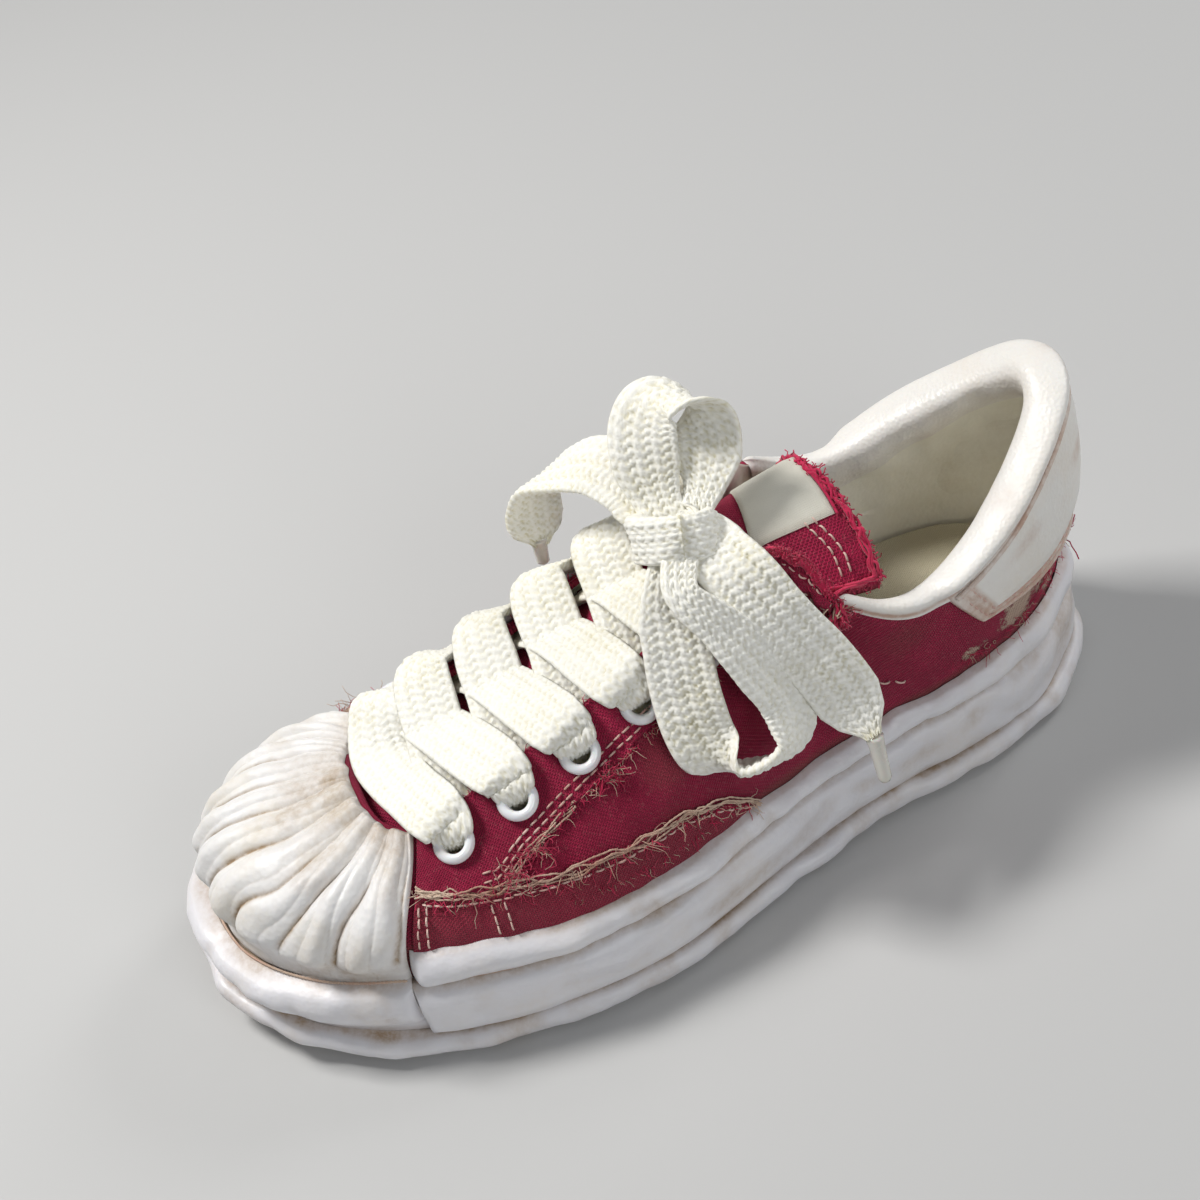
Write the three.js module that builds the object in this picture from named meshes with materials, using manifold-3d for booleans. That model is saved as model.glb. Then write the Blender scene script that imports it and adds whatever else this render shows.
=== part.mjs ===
// A low canvas sneaker for the left foot, with a thick moulded rubber sole, a shell toe cap and a tied bow.
// Millimetres. The toe points to -Y, the outer (lateral) side is +X, and the shoe stands on z = 0.
import * as THREE from 'three';
import { mergeVertices } from 'three/addons/utils/BufferGeometryUtils.js';
import Module from 'manifold-3d';

const wasm = await Module();
wasm.setup();

// ---- driving dimensions ----
const soleLength = 279;
const ballWidth = 113; // across the sole's lip at the ball
const heelHeight = 99; // floor to the upper's edge at the back of the heel
const toeSpring = 9;
const heelLift = 2.5;
const outsoleThickness = 7;
const deckHeight = 24; // floor to the midsole's deck, under the insole
const wallThickness = 2; // canvas with its lining
const insoleThickness = 4;
const fit = 0.3; // gap between pieces that touch
const setBack = 1.9; // half of what the heel tab stands out past the sole, so that the whole shoe is centred
const eyeletPitch = 20;
const eyeletRows = 6;
const firstEyeletY = -60;
const eyeletMargin = 10; // throat edge to the eyelet's middle
const laceWidth = 17;
const laceThickness = 2.6;

// ---- the last: one row per station round the foot, from the toe tip up the lateral side,
// round the heel and back down the medial side.
// plan: sole lip, x as a share of ball width and y of sole length, from the middle of the foot.
// edge: the upper's top edge, x and y as shares again and z as a share of heel height.
// rise, flare: how the wall leaves the sole; drop, reach: how it comes up to the edge, in mm.
// inset: lip edge to the upper's outer face, in mm.
const stations = [
  { plan: [-0.080, -0.491], edge: [-0.018, -0.269, 0.570], rise: 26, flare: 2.0, drop: 3, reach: 30, inset: 13.5 },
  { plan: [0.177, -0.470], edge: [0.080, -0.267, 0.570], rise: 25, flare: 2.5, drop: 3.5, reach: 28, inset: 13 },
  { plan: [0.381, -0.394], edge: [0.150, -0.256, 0.570], rise: 23, flare: 3.0, drop: 5, reach: 22, inset: 12 },
  { plan: [0.504, -0.283], edge: [0.200, -0.226, 0.580], rise: 21, flare: 3.0, drop: 7, reach: 17, inset: 10.5 },
  { plan: [0.565, -0.161], edge: [0.200, -0.148, 0.645], rise: 20, flare: 2.5, drop: 9, reach: 17, inset: 9.5 },
  { plan: [0.553, -0.036], edge: [0.186, -0.043, 0.747], rise: 22, flare: 2.0, drop: 13, reach: 15, inset: 9.5 },
  { plan: [0.470, 0.079], edge: [0.170, 0.065, 0.863], rise: 24, flare: 1.5, drop: 17, reach: 12, inset: 9.5 },
  { plan: [0.400, 0.172], edge: [0.177, 0.172, 0.974], rise: 25, flare: 1.0, drop: 21, reach: 9, inset: 9.5 },
  { plan: [0.366, 0.258], edge: [0.286, 0.217, 0.848], rise: 20, flare: 2.0, drop: 18, reach: 2, inset: 9.5 },
  { plan: [0.346, 0.341], edge: [0.305, 0.297, 0.707], rise: 14, flare: 3.5, drop: 14, reach: 1.5, inset: 9.5 },
  { plan: [0.274, 0.434], edge: [0.258, 0.401, 0.824], rise: 18, flare: 5.0, drop: 18, reach: 2, inset: 9.5 },
  { plan: [0.080, 0.505], edge: [0.092, 0.496, 0.996], rise: 24, flare: 7.0, drop: 26, reach: 5, inset: 9.5 },
  { plan: [-0.159, 0.502], edge: [-0.092, 0.496, 0.996], rise: 24, flare: 7.0, drop: 26, reach: 5, inset: 9.5 },
  { plan: [-0.319, 0.434], edge: [-0.258, 0.401, 0.819], rise: 18, flare: 5.0, drop: 18, reach: 2, inset: 9.5 },
  { plan: [-0.367, 0.341], edge: [-0.308, 0.297, 0.701], rise: 14, flare: 3.5, drop: 14, reach: 1.5, inset: 9.5 },
  { plan: [-0.372, 0.251], edge: [-0.292, 0.217, 0.835], rise: 20, flare: 2.0, drop: 18, reach: 2, inset: 9.5 },
  { plan: [-0.376, 0.158], edge: [-0.179, 0.170, 0.969], rise: 25, flare: 1.0, drop: 21, reach: 9, inset: 9.5 },
  { plan: [-0.398, 0.057], edge: [-0.165, 0.057, 0.863], rise: 24, flare: 1.5, drop: 17, reach: 12, inset: 9.5 },
  { plan: [-0.438, -0.065], edge: [-0.168, -0.050, 0.747], rise: 22, flare: 2.0, drop: 13, reach: 15, inset: 9.5 },
  { plan: [-0.460, -0.186], edge: [-0.172, -0.150, 0.645], rise: 20, flare: 2.5, drop: 9, reach: 17, inset: 9.5 },
  { plan: [-0.451, -0.301], edge: [-0.170, -0.228, 0.580], rise: 21, flare: 3.0, drop: 7, reach: 17, inset: 10.5 },
  { plan: [-0.389, -0.398], edge: [-0.133, -0.257, 0.570], rise: 23, flare: 3.0, drop: 5, reach: 22, inset: 12 },
  { plan: [-0.265, -0.466], edge: [-0.090, -0.267, 0.570], rise: 25, flare: 2.5, drop: 3.5, reach: 28, inset: 13 },
];
const stationCount = stations.length;
const capEnd = 2.82; // lateral station where the toe cap stops
const capStart = 20.1 - stationCount; // medial station where it starts

// Samples round the foot. Every piece that follows the upper is cut from the same ones, so that
// neighbours stay parallel. A pair is drawn up to each end of the toe bumper, where the wall steps.
const roundSteps = 56;
const stepHalf = 0.006;
const samples = Array.from({ length: roundSteps }, (_, i) => (i * stationCount) / roundSteps);
[samples[6], samples[7]] = [capEnd - stepHalf, capEnd + stepHalf];
[samples[48], samples[49]] = [capStart + stationCount - stepHalf, capStart + stationCount + stepHalf];
const capSpan = [...samples.slice(49).map((u) => u - stationCount), ...samples.slice(0, 7)];
const foxingSpan = samples.slice(7, 49);
const tabSpan = samples.slice(23, 34);
const collarSpan = samples.slice(20, 37);
const evenly = (steps) => Array.from({ length: steps + 1 }, (_, i) => i / steps);

const clamp = THREE.MathUtils.clamp;
const lerp = THREE.MathUtils.lerp;
const smooth = THREE.MathUtils.smoothstep;
const up = new THREE.Vector3(0, 0, 1);

// Value of one station attribute at any place round the foot: a closed, evenly spaced Catmull-Rom.
function around(u, pick) {
  const i = Math.floor(u);
  const f = u - i;
  const at = (k) => pick(stations[(((i + k) % stationCount) + stationCount) % stationCount]);
  const [a, b, c, d] = [at(-1), at(0), at(1), at(2)];
  return 0.5 * (2 * b + (c - a) * f + (2 * a - 5 * b + 4 * c - d) * f * f + (3 * b - a - 3 * c + d) * f ** 3);
}

const rawPlan = (u) => new THREE.Vector2(
  around(u, (s) => s.plan[0]) * ballWidth,
  around(u, (s) => s.plan[1]) * soleLength,
);

// The middle of the sole's own box, so that the shoe is centred on the origin.
function planMiddle() {
  const box = new THREE.Box2();
  for (const u of samples) box.expandByPoint(rawPlan(u));
  return box.getCenter(new THREE.Vector2());
}
const middle = planMiddle();

function planNormal(u) {
  const ahead = rawPlan(u + 0.01);
  const behind = rawPlan(u - 0.01);
  return new THREE.Vector2(ahead.y - behind.y, behind.x - ahead.x).normalize();
}

// A point of the sole's outline, moved inwards.
function planPoint(u, inset) {
  return rawPlan(u).sub(middle).addScaledVector(planNormal(u), -inset);
}

// How far the ground face lifts at the toe and at the back of the heel.
function spring(y) {
  const toe = clamp((-68 - y) / 70, 0, 1.1);
  const heel = clamp((y - 112) / 28, 0, 1.1);
  return toeSpring * toe ** 2 + heelLift * heel ** 2;
}

const deckZ = (y) => deckHeight + 0.6 * spring(y);
// Height of the groove between the midsole wall and the foxing, and of the foxing's top.
const featherInset = (u) => around(u, (s) => s.inset);
const sideY = (u) => planPoint(u, 0).y;
const grooveZ = (u) => 25.2 + 2.4 * smooth(-sideY(u), 0, 110) + 3.5 * smooth(sideY(u), 50, 135);
const foxingTopZ = (u) => grooveZ(u) + 7.5 + 2.5 * smooth(-sideY(u), 0, 60) + 3 * smooth(sideY(u), 60, 130);

// The upper's outer surface: u round the foot, t from the sole (0) to the top edge (1).
function lastPoint(u, t) {
  const out = planNormal(u);
  const foot = planPoint(u, featherInset(u));
  const p0 = new THREE.Vector3(foot.x, foot.y, deckZ(foot.y) + fit);
  const p3 = new THREE.Vector3(
    around(u, (s) => s.edge[0]) * ballWidth - middle.x,
    around(u, (s) => s.edge[1]) * soleLength - middle.y,
    around(u, (s) => s.edge[2]) * heelHeight,
  );
  const flare = around(u, (s) => s.flare);
  const reach = around(u, (s) => s.reach);
  const p1 = new THREE.Vector3(p0.x + out.x * flare, p0.y + out.y * flare, p0.z + around(u, (s) => s.rise));
  const p2 = new THREE.Vector3(p3.x + out.x * reach, p3.y + out.y * reach, p3.z - around(u, (s) => s.drop));
  return new THREE.CubicBezierCurve3(p0, p1, p2, p3).getPoint(t);
}

function lastNormal(u, t) {
  const low = Math.max(t - 0.01, 0);
  const high = Math.min(t + 0.01, 1);
  const along = lastPoint(u + 0.02, t).sub(lastPoint(u - 0.02, t));
  const upward = lastPoint(u, high).sub(lastPoint(u, low));
  return along.cross(upward).normalize();
}

const upperPoint = (u, t, offset) => lastPoint(u, t).addScaledVector(lastNormal(u, t), offset);

// Bisection for the place where a rising function reaches a value.
function solve(rising, value, low, high) {
  for (let i = 0; i < 30; i += 1) {
    const half = (low + high) / 2;
    if (rising(half) < value) low = half;
    else high = half;
  }
  return (low + high) / 2;
}

const tAtHeight = (u, z) => solve((t) => lastPoint(u, t).z, z, 0, 1);
const tFromEdge = (u, distance) => solve((t) => -lastPoint(u, t).distanceTo(lastPoint(u, 1)), -distance, 0, 1);

// ---- solids ----

// A geometry from vertices and faces, turned inside out if its faces point inwards.
function closedGeometry(vertices, faces) {
  let volume = 0;
  for (const [a, b, c] of faces) volume += vertices[a].dot(vertices[b].clone().cross(vertices[c]));
  const geometry = new THREE.BufferGeometry();
  geometry.setAttribute('position', new THREE.Float32BufferAttribute(vertices.flatMap((v) => v.toArray()), 3));
  geometry.setIndex((volume < 0 ? faces.map(([a, b, c]) => [a, c, b]) : faces).flat());
  return geometry;
}

// A plate between two surfaces, both given as (column, share of the rows) -> point. It closes round
// its columns if asked.
function plate(columns, rows, closed, outer, inner) {
  const vertices = [];
  const faces = [];
  const count = columns.length;
  for (const surface of [outer, inner]) {
    for (const column of columns) {
      for (let r = 0; r <= rows; r += 1) vertices.push(surface(column, r / rows));
    }
  }
  const id = (side, c, r) => (side * count + (c % count)) * (rows + 1) + r;
  const quad = (a, b, c, d) => faces.push([a, b, c], [a, c, d]);
  const last = count - 1;
  for (let c = 0; c < (closed ? count : last); c += 1) {
    for (let r = 0; r < rows; r += 1) {
      quad(id(0, c, r), id(0, c + 1, r), id(0, c + 1, r + 1), id(0, c, r + 1));
      quad(id(1, c, r), id(1, c, r + 1), id(1, c + 1, r + 1), id(1, c + 1, r));
    }
    quad(id(0, c, 0), id(1, c, 0), id(1, c + 1, 0), id(0, c + 1, 0));
    quad(id(0, c, rows), id(0, c + 1, rows), id(1, c + 1, rows), id(1, c, rows));
  }
  for (let r = 0; r < rows && !closed; r += 1) {
    quad(id(0, 0, r), id(0, 0, r + 1), id(1, 0, r + 1), id(1, 0, r));
    quad(id(0, last, r), id(1, last, r), id(1, last, r + 1), id(0, last, r + 1));
  }
  return closedGeometry(vertices, faces);
}

// A foot-shaped slab: rings round the foot from the bottom's edge to the top's, and two caps of
// rungs from side to side whose heights come from bottomZ and topZ.
function slab(rings, bottomZ, topZ) {
  const vertices = [];
  const faces = [];
  const half = roundSteps / 2;
  const across = 3;
  for (const ring of rings) vertices.push(...samples.map(ring));
  for (let k = 0; k + 1 < rings.length; k += 1) {
    for (let i = 0; i < roundSteps; i += 1) {
      const a = k * roundSteps + i;
      const b = k * roundSteps + ((i + 1) % roundSteps);
      faces.push([a, b, b + roundSteps], [a, b + roundSteps, a + roundSteps]);
    }
  }
  const cap = (base, heightAt, flip) => {
    const rungs = [];
    for (let i = 1; i < half; i += 1) {
      const rung = [base + i];
      for (let k = 1; k < across; k += 1) {
        const p = vertices[base + i].clone().lerp(vertices[base + roundSteps - i], k / across);
        rung.push(vertices.length);
        vertices.push(new THREE.Vector3(p.x, p.y, heightAt(p.x, p.y)));
      }
      rungs.push([...rung, base + roundSteps - i]);
    }
    const add = (a, b, c) => faces.push(flip ? [a, c, b] : [a, b, c]);
    for (let k = 0; k < across; k += 1) {
      add(base, rungs[0][k], rungs[0][k + 1]);
      add(base + half, rungs.at(-1)[k + 1], rungs.at(-1)[k]);
      for (let i = 0; i + 1 < rungs.length; i += 1) {
        add(rungs[i][k], rungs[i + 1][k], rungs[i + 1][k + 1]);
        add(rungs[i][k], rungs[i + 1][k + 1], rungs[i][k + 1]);
      }
    }
  };
  cap(0, bottomZ, true);
  cap((rings.length - 1) * roundSteps, topZ, false);
  return closedGeometry(vertices, faces);
}

function toSolid(geometry) {
  const bare = geometry.clone();
  bare.deleteAttribute('normal');
  bare.deleteAttribute('uv');
  const merged = mergeVertices(bare, 1e-4);
  return new wasm.Manifold(new wasm.Mesh({
    numProp: 3,
    vertProperties: new Float32Array(merged.attributes.position.array),
    triVerts: new Uint32Array(merged.index.array),
  }));
}

function fromSolid(solid) {
  const mesh = solid.getMesh();
  const geometry = new THREE.BufferGeometry();
  geometry.setAttribute('position', new THREE.Float32BufferAttribute(mesh.vertProperties, 3));
  geometry.setIndex(Array.from(mesh.triVerts));
  return geometry;
}

// ---- sole ----

const inPlan = (inset, heightAt) => (u) => {
  const p = planPoint(u, typeof inset === 'function' ? inset(u) : inset);
  return new THREE.Vector3(p.x, p.y, heightAt(p.y, u));
};

// The upper's outer face at a height, moved out by a gap.
function besideUpper(u, z, gap) {
  const p = upperPoint(u, tAtHeight(u, z), gap);
  return new THREE.Vector3(p.x, p.y, z);
}

// The lip's edge runs in and out a little all round.
const lipWave = (u) => 0.9 + 0.7 * Math.sin(u * 2.1) * Math.sin(u * 5.3 + 1);
const archRelief = (x, y) => 1.6 * smooth(y, -22, 5) * (1 - smooth(y, 38, 62)) * (0.6 - 0.4 * clamp(x / 40, -1, 1));

// Zigzag grooves across the ground face leave the lugs of the forefoot and the heel.
function lugGroove(y) {
  const depth = 2.4;
  const width = 2.6;
  const teeth = [-66, -22, 22, 66].map((x, i) => new THREE.Vector2(x, i % 2 ? 4 : -4));
  const shape = new THREE.Shape([
    ...teeth.map((p) => new THREE.Vector2(p.x, p.y - width / 2)),
    ...teeth.toReversed().map((p) => new THREE.Vector2(p.x, p.y + width / 2)),
  ]);
  const bar = new THREE.ExtrudeGeometry(shape, { depth: depth + 10, bevelEnabled: false });
  return toSolid(bar.translate(0, y, spring(y) - 10));
}

function outsole() {
  const under = (y) => spring(y);
  const rings = [
    inPlan(5, under),
    inPlan((u) => 1.2 + lipWave(u), (y) => under(y) + 1.2),
    inPlan(lipWave, (y) => under(y) + 3.4),
    inPlan((u) => 1.0 + lipWave(u), (y) => under(y) + 6),
    inPlan(5, (y) => under(y) + outsoleThickness),
  ];
  const ground = (x, y) => spring(y) + archRelief(x, y);
  let solid = toSolid(slab(rings, ground, (x, y) => spring(y) + outsoleThickness));
  for (const y of [-102, -82, -62, -38, -18, 70, 90, 112]) solid = solid.subtract(lugGroove(y));
  return fromSolid(solid);
}

// In the toe bumper's reach the midsole's wall stands back behind it.
const behindBumper = (u) => u < capEnd || u > capStart + stationCount;

function midsole() {
  const bottom = (y) => spring(y) + outsoleThickness + fit;
  const level = (share) => (y, u) => lerp(bottom(y), grooveZ(u), share);
  const wall = (inset) => (u) => (behindBumper(u) ? 6.6 : inset);
  const rings = [
    inPlan(7, bottom),
    inPlan(wall(5), level(0.06)),
    inPlan(wall(3), level(0.3)),
    inPlan(wall(2.4), level(0.55)),
    inPlan(wall(3), level(0.85)),
    inPlan(wall(5.2), level(1)),
    (u) => besideUpper(u, grooveZ(u), 2 * fit),
    (u) => besideUpper(u, deckZ(planPoint(u, featherInset(u)).y), 2 * fit),
  ];
  return slab(rings, (x, y) => bottom(y), (x, y) => deckZ(y));
}

function insole() {
  const edge = (u) => featherInset(u) + wallThickness + 0.4;
  const low = (y) => deckZ(y) + fit;
  const high = (y) => low(y) + insoleThickness;
  return slab([inPlan(edge, low), inPlan(edge, high)], (x, y) => low(y), (x, y) => high(y));
}

// Round section between two faces of a band: how far row r stands out, from 0 at its ends to 1.
const rolled = (r) => Math.sin(Math.PI * clamp(r, 0, 1)) ** 0.45;

function toeBumper() {
  const face = (inset) => (u, r) => {
    const p = planPoint(u, inset(r));
    return new THREE.Vector3(p.x, p.y, lerp(spring(p.y) + outsoleThickness + 5, grooveZ(u) - 0.4, r));
  };
  const span = [capSpan[0] + stepHalf, ...capSpan.slice(1, -1), capSpan.at(-1) - stepHalf];
  return plate(span, 4, false, face((r) => 5.6 - 4.2 * rolled(r)), face(() => 6.3));
}

function foxing() {
  const thickness = (r) => 0.9 + 4.2 * rolled(0.12 + 0.86 * r);
  const face = (offset) => (u, r) => besideUpper(u, lerp(grooveZ(u) + fit, foxingTopZ(u), r), offset(r));
  return plate(foxingSpan, 4, false, face((r) => fit + thickness(r)), face(() => fit + 0.1));
}

// ---- upper ----

function upper(seats) {
  const face = (offset) => (u, t) => upperPoint(u, t, offset);
  let solid = toSolid(plate(samples, 6, true, face(0), face(-wallThickness)));
  for (const seat of seats) {
    const hole = new THREE.CylinderGeometry(4, 4, 16, 8);
    hole.applyQuaternion(seat.turn).translate(...seat.middle.toArray());
    solid = solid.subtract(toSolid(hole));
  }
  return fromSolid(solid);
}

function toeCap() {
  const face = (offset) => (u, r) => (
    upperPoint(u, lerp(tAtHeight(u, grooveZ(u) + 3 * fit), 0.93, r), offset(u, r))
  );
  const rim = (x) => smooth(x, -0.02, 0.12);
  const thickness = (u, r) => 1 + 2.2 * rim((capEnd - u) / 5) * rim((u - capStart) / 5) * rim(0.7 * (1 - r));
  return plate(capSpan, 6, false, face((u, r) => 1.6 * fit + thickness(u, r)), face(() => 1.6 * fit));
}

function heelTab() {
  const face = (offset) => (u, r) => upperPoint(u, lerp(tAtHeight(u, 55), tFromEdge(u, 0.6), r), offset);
  return plate(tabSpan, 4, false, face(fit + 1.8), face(fit));
}

// The padded collar hooks over the upper's edge and runs down its inner face. Each row of its
// section stands out from the wall, and above the wall's edge, by these amounts; swell pads it.
function collarPad() {
  const first = collarSpan[0];
  const last = collarSpan.at(-1);
  const swell = (u) => 1.6 + 4.6 * smooth(Math.min(u - first, last - u), 0, 2);
  const outerRow = (pad) => [
    [0.6, 0.9], [1.2, 2.1], [0.2, 3.8], [-2 - 0.4 * pad, 4.4], [-2.5 - pad, 1.2], [-2.5 - 0.9 * pad, -9], [-3.4, -20],
  ];
  const innerRow = [[0.3, 0.8], [-0.3, 0.8], [-0.9, 0.8], [-1.6, 0.8], [-2.5, 0.8], [-2.5, -9], [-2.5, -20]];
  const point = (u, [out, above]) => {
    if (above < 0) return upperPoint(u, tFromEdge(u, -above), out);
    const rising = lastPoint(u, 1).sub(lastPoint(u, 0.98)).normalize();
    return upperPoint(u, 1, out).addScaledVector(rising, above);
  };
  const rows = innerRow.length - 1;
  const rowAt = (list, r) => list[Math.round(r * rows)];
  return plate(
    collarSpan, rows, false,
    (u, r) => point(u, rowAt(outerRow(swell(u)), r)),
    (u, r) => point(u, rowAt(innerRow, r)),
  );
}

// ---- tongue ----

const vec = (x, y, z) => new THREE.Vector3(x, y, z);
// x holds the tongue's half width
const tongueSpine = new THREE.CatmullRomCurve3([
  vec(24, -69, 54), vec(27, -42, 62), vec(26, -12, 73), vec(24, 18, 85), vec(23, 44, 95), vec(25, 66, 99),
]);
const tongueDrop = (v) => lerp(9, 18, v ** 0.8);
const tongueThickness = 3.6;

// v runs from the toe end to the top, s from the medial edge (-1) to the lateral edge (1).
function tonguePoint(v, s, sink) {
  const spine = tongueSpine.getPoint(v);
  return vec(spine.x * s - middle.x, spine.y - 2 * s * s, spine.z - tongueDrop(v) * Math.abs(s) ** 2.2 - sink);
}

function tongue() {
  const face = (sink) => (c, r) => tonguePoint(r, 2 * c - 1, sink);
  return plate(evenly(8), 9, false, face(0), face(tongueThickness));
}

// ---- eyelets ----

// Where an eyelet sits on the eyestay: its middle on the outer face, and the turn of its axis.
function eyeletSeat(side, row) {
  const y = firstEyeletY + row * eyeletPitch;
  const at = (u) => lastPoint(u, tFromEdge(u, eyeletMargin));
  const u = side === 'lateral'
    ? solve((k) => at(k).y, y, 2.2, 7.4)
    : solve((k) => -at(k).y, -y, 15.6, 20.8);
  const axis = lastNormal(u, tFromEdge(u, eyeletMargin));
  const turn = new THREE.Quaternion().setFromUnitVectors(vec(0, 1, 0), axis);
  return { middle: at(u), axis, turn, edge: lastPoint(u, 1), edgeNormal: lastNormal(u, 1) };
}

function eyelet(seat) {
  const profile = [
    [3.0, -2.6], [3.0, 1.4], [4.3, 2.0], [5.8, 1.2], [5.8, 0.6], [3.6, 0.6], [3.6, -2.6], [3.0, -2.6],
  ].reverse().map(([r, h]) => new THREE.Vector2(r, h));
  return new THREE.LatheGeometry(profile, 10).applyQuaternion(seat.turn).translate(...seat.middle.toArray());
}

// ---- laces ----

// A flat lace along a list of points. Widths are given at evenly spaced places, and lay says which
// way its face looks at each point.
function ribbon(points, widths, lay, steps) {
  const path = new THREE.CatmullRomCurve3(points);
  const facing = new THREE.CatmullRomCurve3(lay);
  const at = (c, s, h) => {
    const along = path.getTangent(c);
    const side = facing.getPoint(c).cross(along).normalize();
    const face = along.clone().cross(side);
    const k = clamp(c, 0, 0.9999) * (widths.length - 1);
    const width = lerp(widths[Math.floor(k)], widths[Math.floor(k) + 1], k % 1);
    return path.getPoint(c).addScaledVector(side, (s * width) / 2).addScaledVector(face, h);
  };
  const half = laceThickness / 2;
  const across = [-1, -0.75, 0.75, 1];
  const depth = [0.4, 1, 1, 0.4];
  const face = (sign) => (c, r) => at(c, across[Math.round(3 * r)], sign * half * depth[Math.round(3 * r)]);
  return plate(evenly(steps), 3, false, face(1), face(-1));
}

// One lace strap, resting on what it passes over: a list of points and the way its face looks there.
function strap(stops, widths) {
  return toSolid(ribbon(stops.map((stop) => stop.point), widths, stops.map((stop) => stop.facing), 6));
}

const overEyelet = (seat) => ({
  point: seat.middle.clone().addScaledVector(seat.axis, 3.7),
  facing: seat.axis,
});
const overEdge = (seat) => ({
  point: seat.edge.clone().addScaledVector(seat.edgeNormal, 3).addScaledVector(up, 1.2),
  facing: seat.edgeNormal.clone().add(up),
});
const overTongue = (y, s, height) => {
  const v = solve((k) => tongueSpine.getPoint(k).y, y, 0, 1);
  return { point: tonguePoint(v, s, -height), facing: up };
};

// A straight bar over the first pair, then in each row two straps that come up out of the throat,
// cross, and go down into the eyelets; the one that ends on the lateral side lies on top.
function laceCrossings(lateral, medial) {
  const wide = laceWidth;
  const barStops = [
    overEyelet(medial[0]), overEdge(medial[0]), overTongue(firstEyeletY, 0, 4), overEdge(lateral[0]), overEyelet(lateral[0]),
  ];
  const straps = [strap(barStops, [9, wide, wide, wide, 9])];
  for (let row = 1; row < eyeletRows; row += 1) {
    const y = firstEyeletY + row * eyeletPitch;
    for (const [seat, from, height] of [[medial[row], 1, 4], [lateral[row], -1, 6.2]]) {
      const stops = [
        overTongue(y - 9, 0.5 * from, height), overTongue(y - 5, 0.1 * from, height), overEdge(seat), overEyelet(seat),
      ];
      straps.push(strap(stops, [13, wide, wide, wide, 9]));
    }
  }
  return fromSolid(straps.reduce((all, one) => all.add(one)));
}

// The bow: each part's route from the knot outwards, its widths, and the way its face looks.
const knotMiddle = vec(1, 25, 105);
const bow = {
  lace_loop_high: {
    route: [
      vec(-9, 25, 111), vec(-15, 26, 118), vec(-21, 29, 125), vec(-24, 35, 129), vec(-21, 43, 127),
      vec(-15, 44, 120), vec(-9, 40, 113), vec(-5, 36, 109),
    ],
    widths: [12, laceWidth, laceWidth, laceWidth, 12],
    facing: [vec(0.8, -0.2, 0.5), vec(0.7, -0.3, 0.7), vec(-0.2, 0.1, 1), vec(-0.7, 0.2, 0.3), vec(-0.7, 0.4, -0.4)],
    steps: 14,
  },
  lace_end_medial: {
    route: [
      vec(-12, 23, 106), vec(-21, 21, 109), vec(-32, 15, 110), vec(-40, 6, 106), vec(-45, -1, 100),
      vec(-46, -6, 93), vec(-45, -7, 87),
    ],
    widths: [12, laceWidth, laceWidth, laceWidth, 5],
    facing: [vec(0.3, -0.3, 0.9), vec(0.1, -0.4, 0.9), vec(-0.3, -0.6, 0.7), vec(-0.8, -0.6, 0.1)],
    steps: 11,
  },
  lace_loop_low: {
    route: [
      vec(13, 17, 99), vec(21, 14, 90), vec(30, 11, 77), vec(38, 11, 65), vec(44, 17, 58),
      vec(45, 28, 60), vec(38, 31, 70), vec(33, 27, 82), vec(27, 22, 94), vec(19, 19, 103),
    ],
    widths: [12, laceWidth, laceWidth, laceWidth, 12],
    facing: [vec(0.8, -0.3, 0.6), vec(0.8, -0.3, 0.5), vec(0.6, 0, -0.7), vec(0.8, 0.4, 0.3), vec(0.8, 0.3, 0.5)],
    steps: 16,
  },
  lace_end_lateral: {
    route: [vec(13, 33, 103), vec(21, 36, 99), vec(30, 41, 88), vec(37, 47, 75), vec(43, 51, 63), vec(50, 53, 55)],
    widths: [13, laceWidth, laceWidth, laceWidth, 5],
    facing: [vec(0.4, 0, 0.9), vec(0.7, -0.1, 0.7), vec(0.8, -0.1, 0.5)],
    steps: 9,
  },
};
const aglets = {
  aglet_medial: [vec(-44.9, -7.1, 86.2), vec(-43, -8.5, 74)],
  aglet_lateral: [vec(50.6, 53, 54.2), vec(56, 52, 43)],
};

function laceKnot() {
  const knot = new THREE.SphereGeometry(1, 10, 7);
  return knot.scale(9.5, 8.5, 6).rotateX(0.35).rotateY(0.3).translate(...knotMiddle.toArray());
}

function aglet([start, end]) {
  const tip = new THREE.CylinderGeometry(1.9, 2.2, start.distanceTo(end), 8);
  const along = end.clone().sub(start).normalize();
  tip.applyQuaternion(new THREE.Quaternion().setFromUnitVectors(vec(0, 1, 0), along));
  return tip.translate(...start.clone().lerp(end, 0.5).toArray());
}

// ---- the shoe ----

const colours = {
  rubber: 0xe9e6e0, canvas: 0xa3153f, leather: 0xe8e3d3, lining: 0xe4e0cf, footbed: 0xd9d3b4, cotton: 0xeeebd6,
  eyelet: 0xf4f5f7, tip: 0xd8d6cf,
};
const finish = (colour, roughness) => new THREE.MeshStandardMaterial({ color: colour, roughness, metalness: 0 });

const shoe = new THREE.Group();

function add(name, geometry, material) {
  const mesh = new THREE.Mesh(geometry.translate(0, -setBack, 0), material);
  mesh.name = name;
  shoe.add(mesh);
}

const lateralSeats = Array.from({ length: eyeletRows }, (_, row) => eyeletSeat('lateral', row));
const medialSeats = Array.from({ length: eyeletRows }, (_, row) => eyeletSeat('medial', row));

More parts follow.
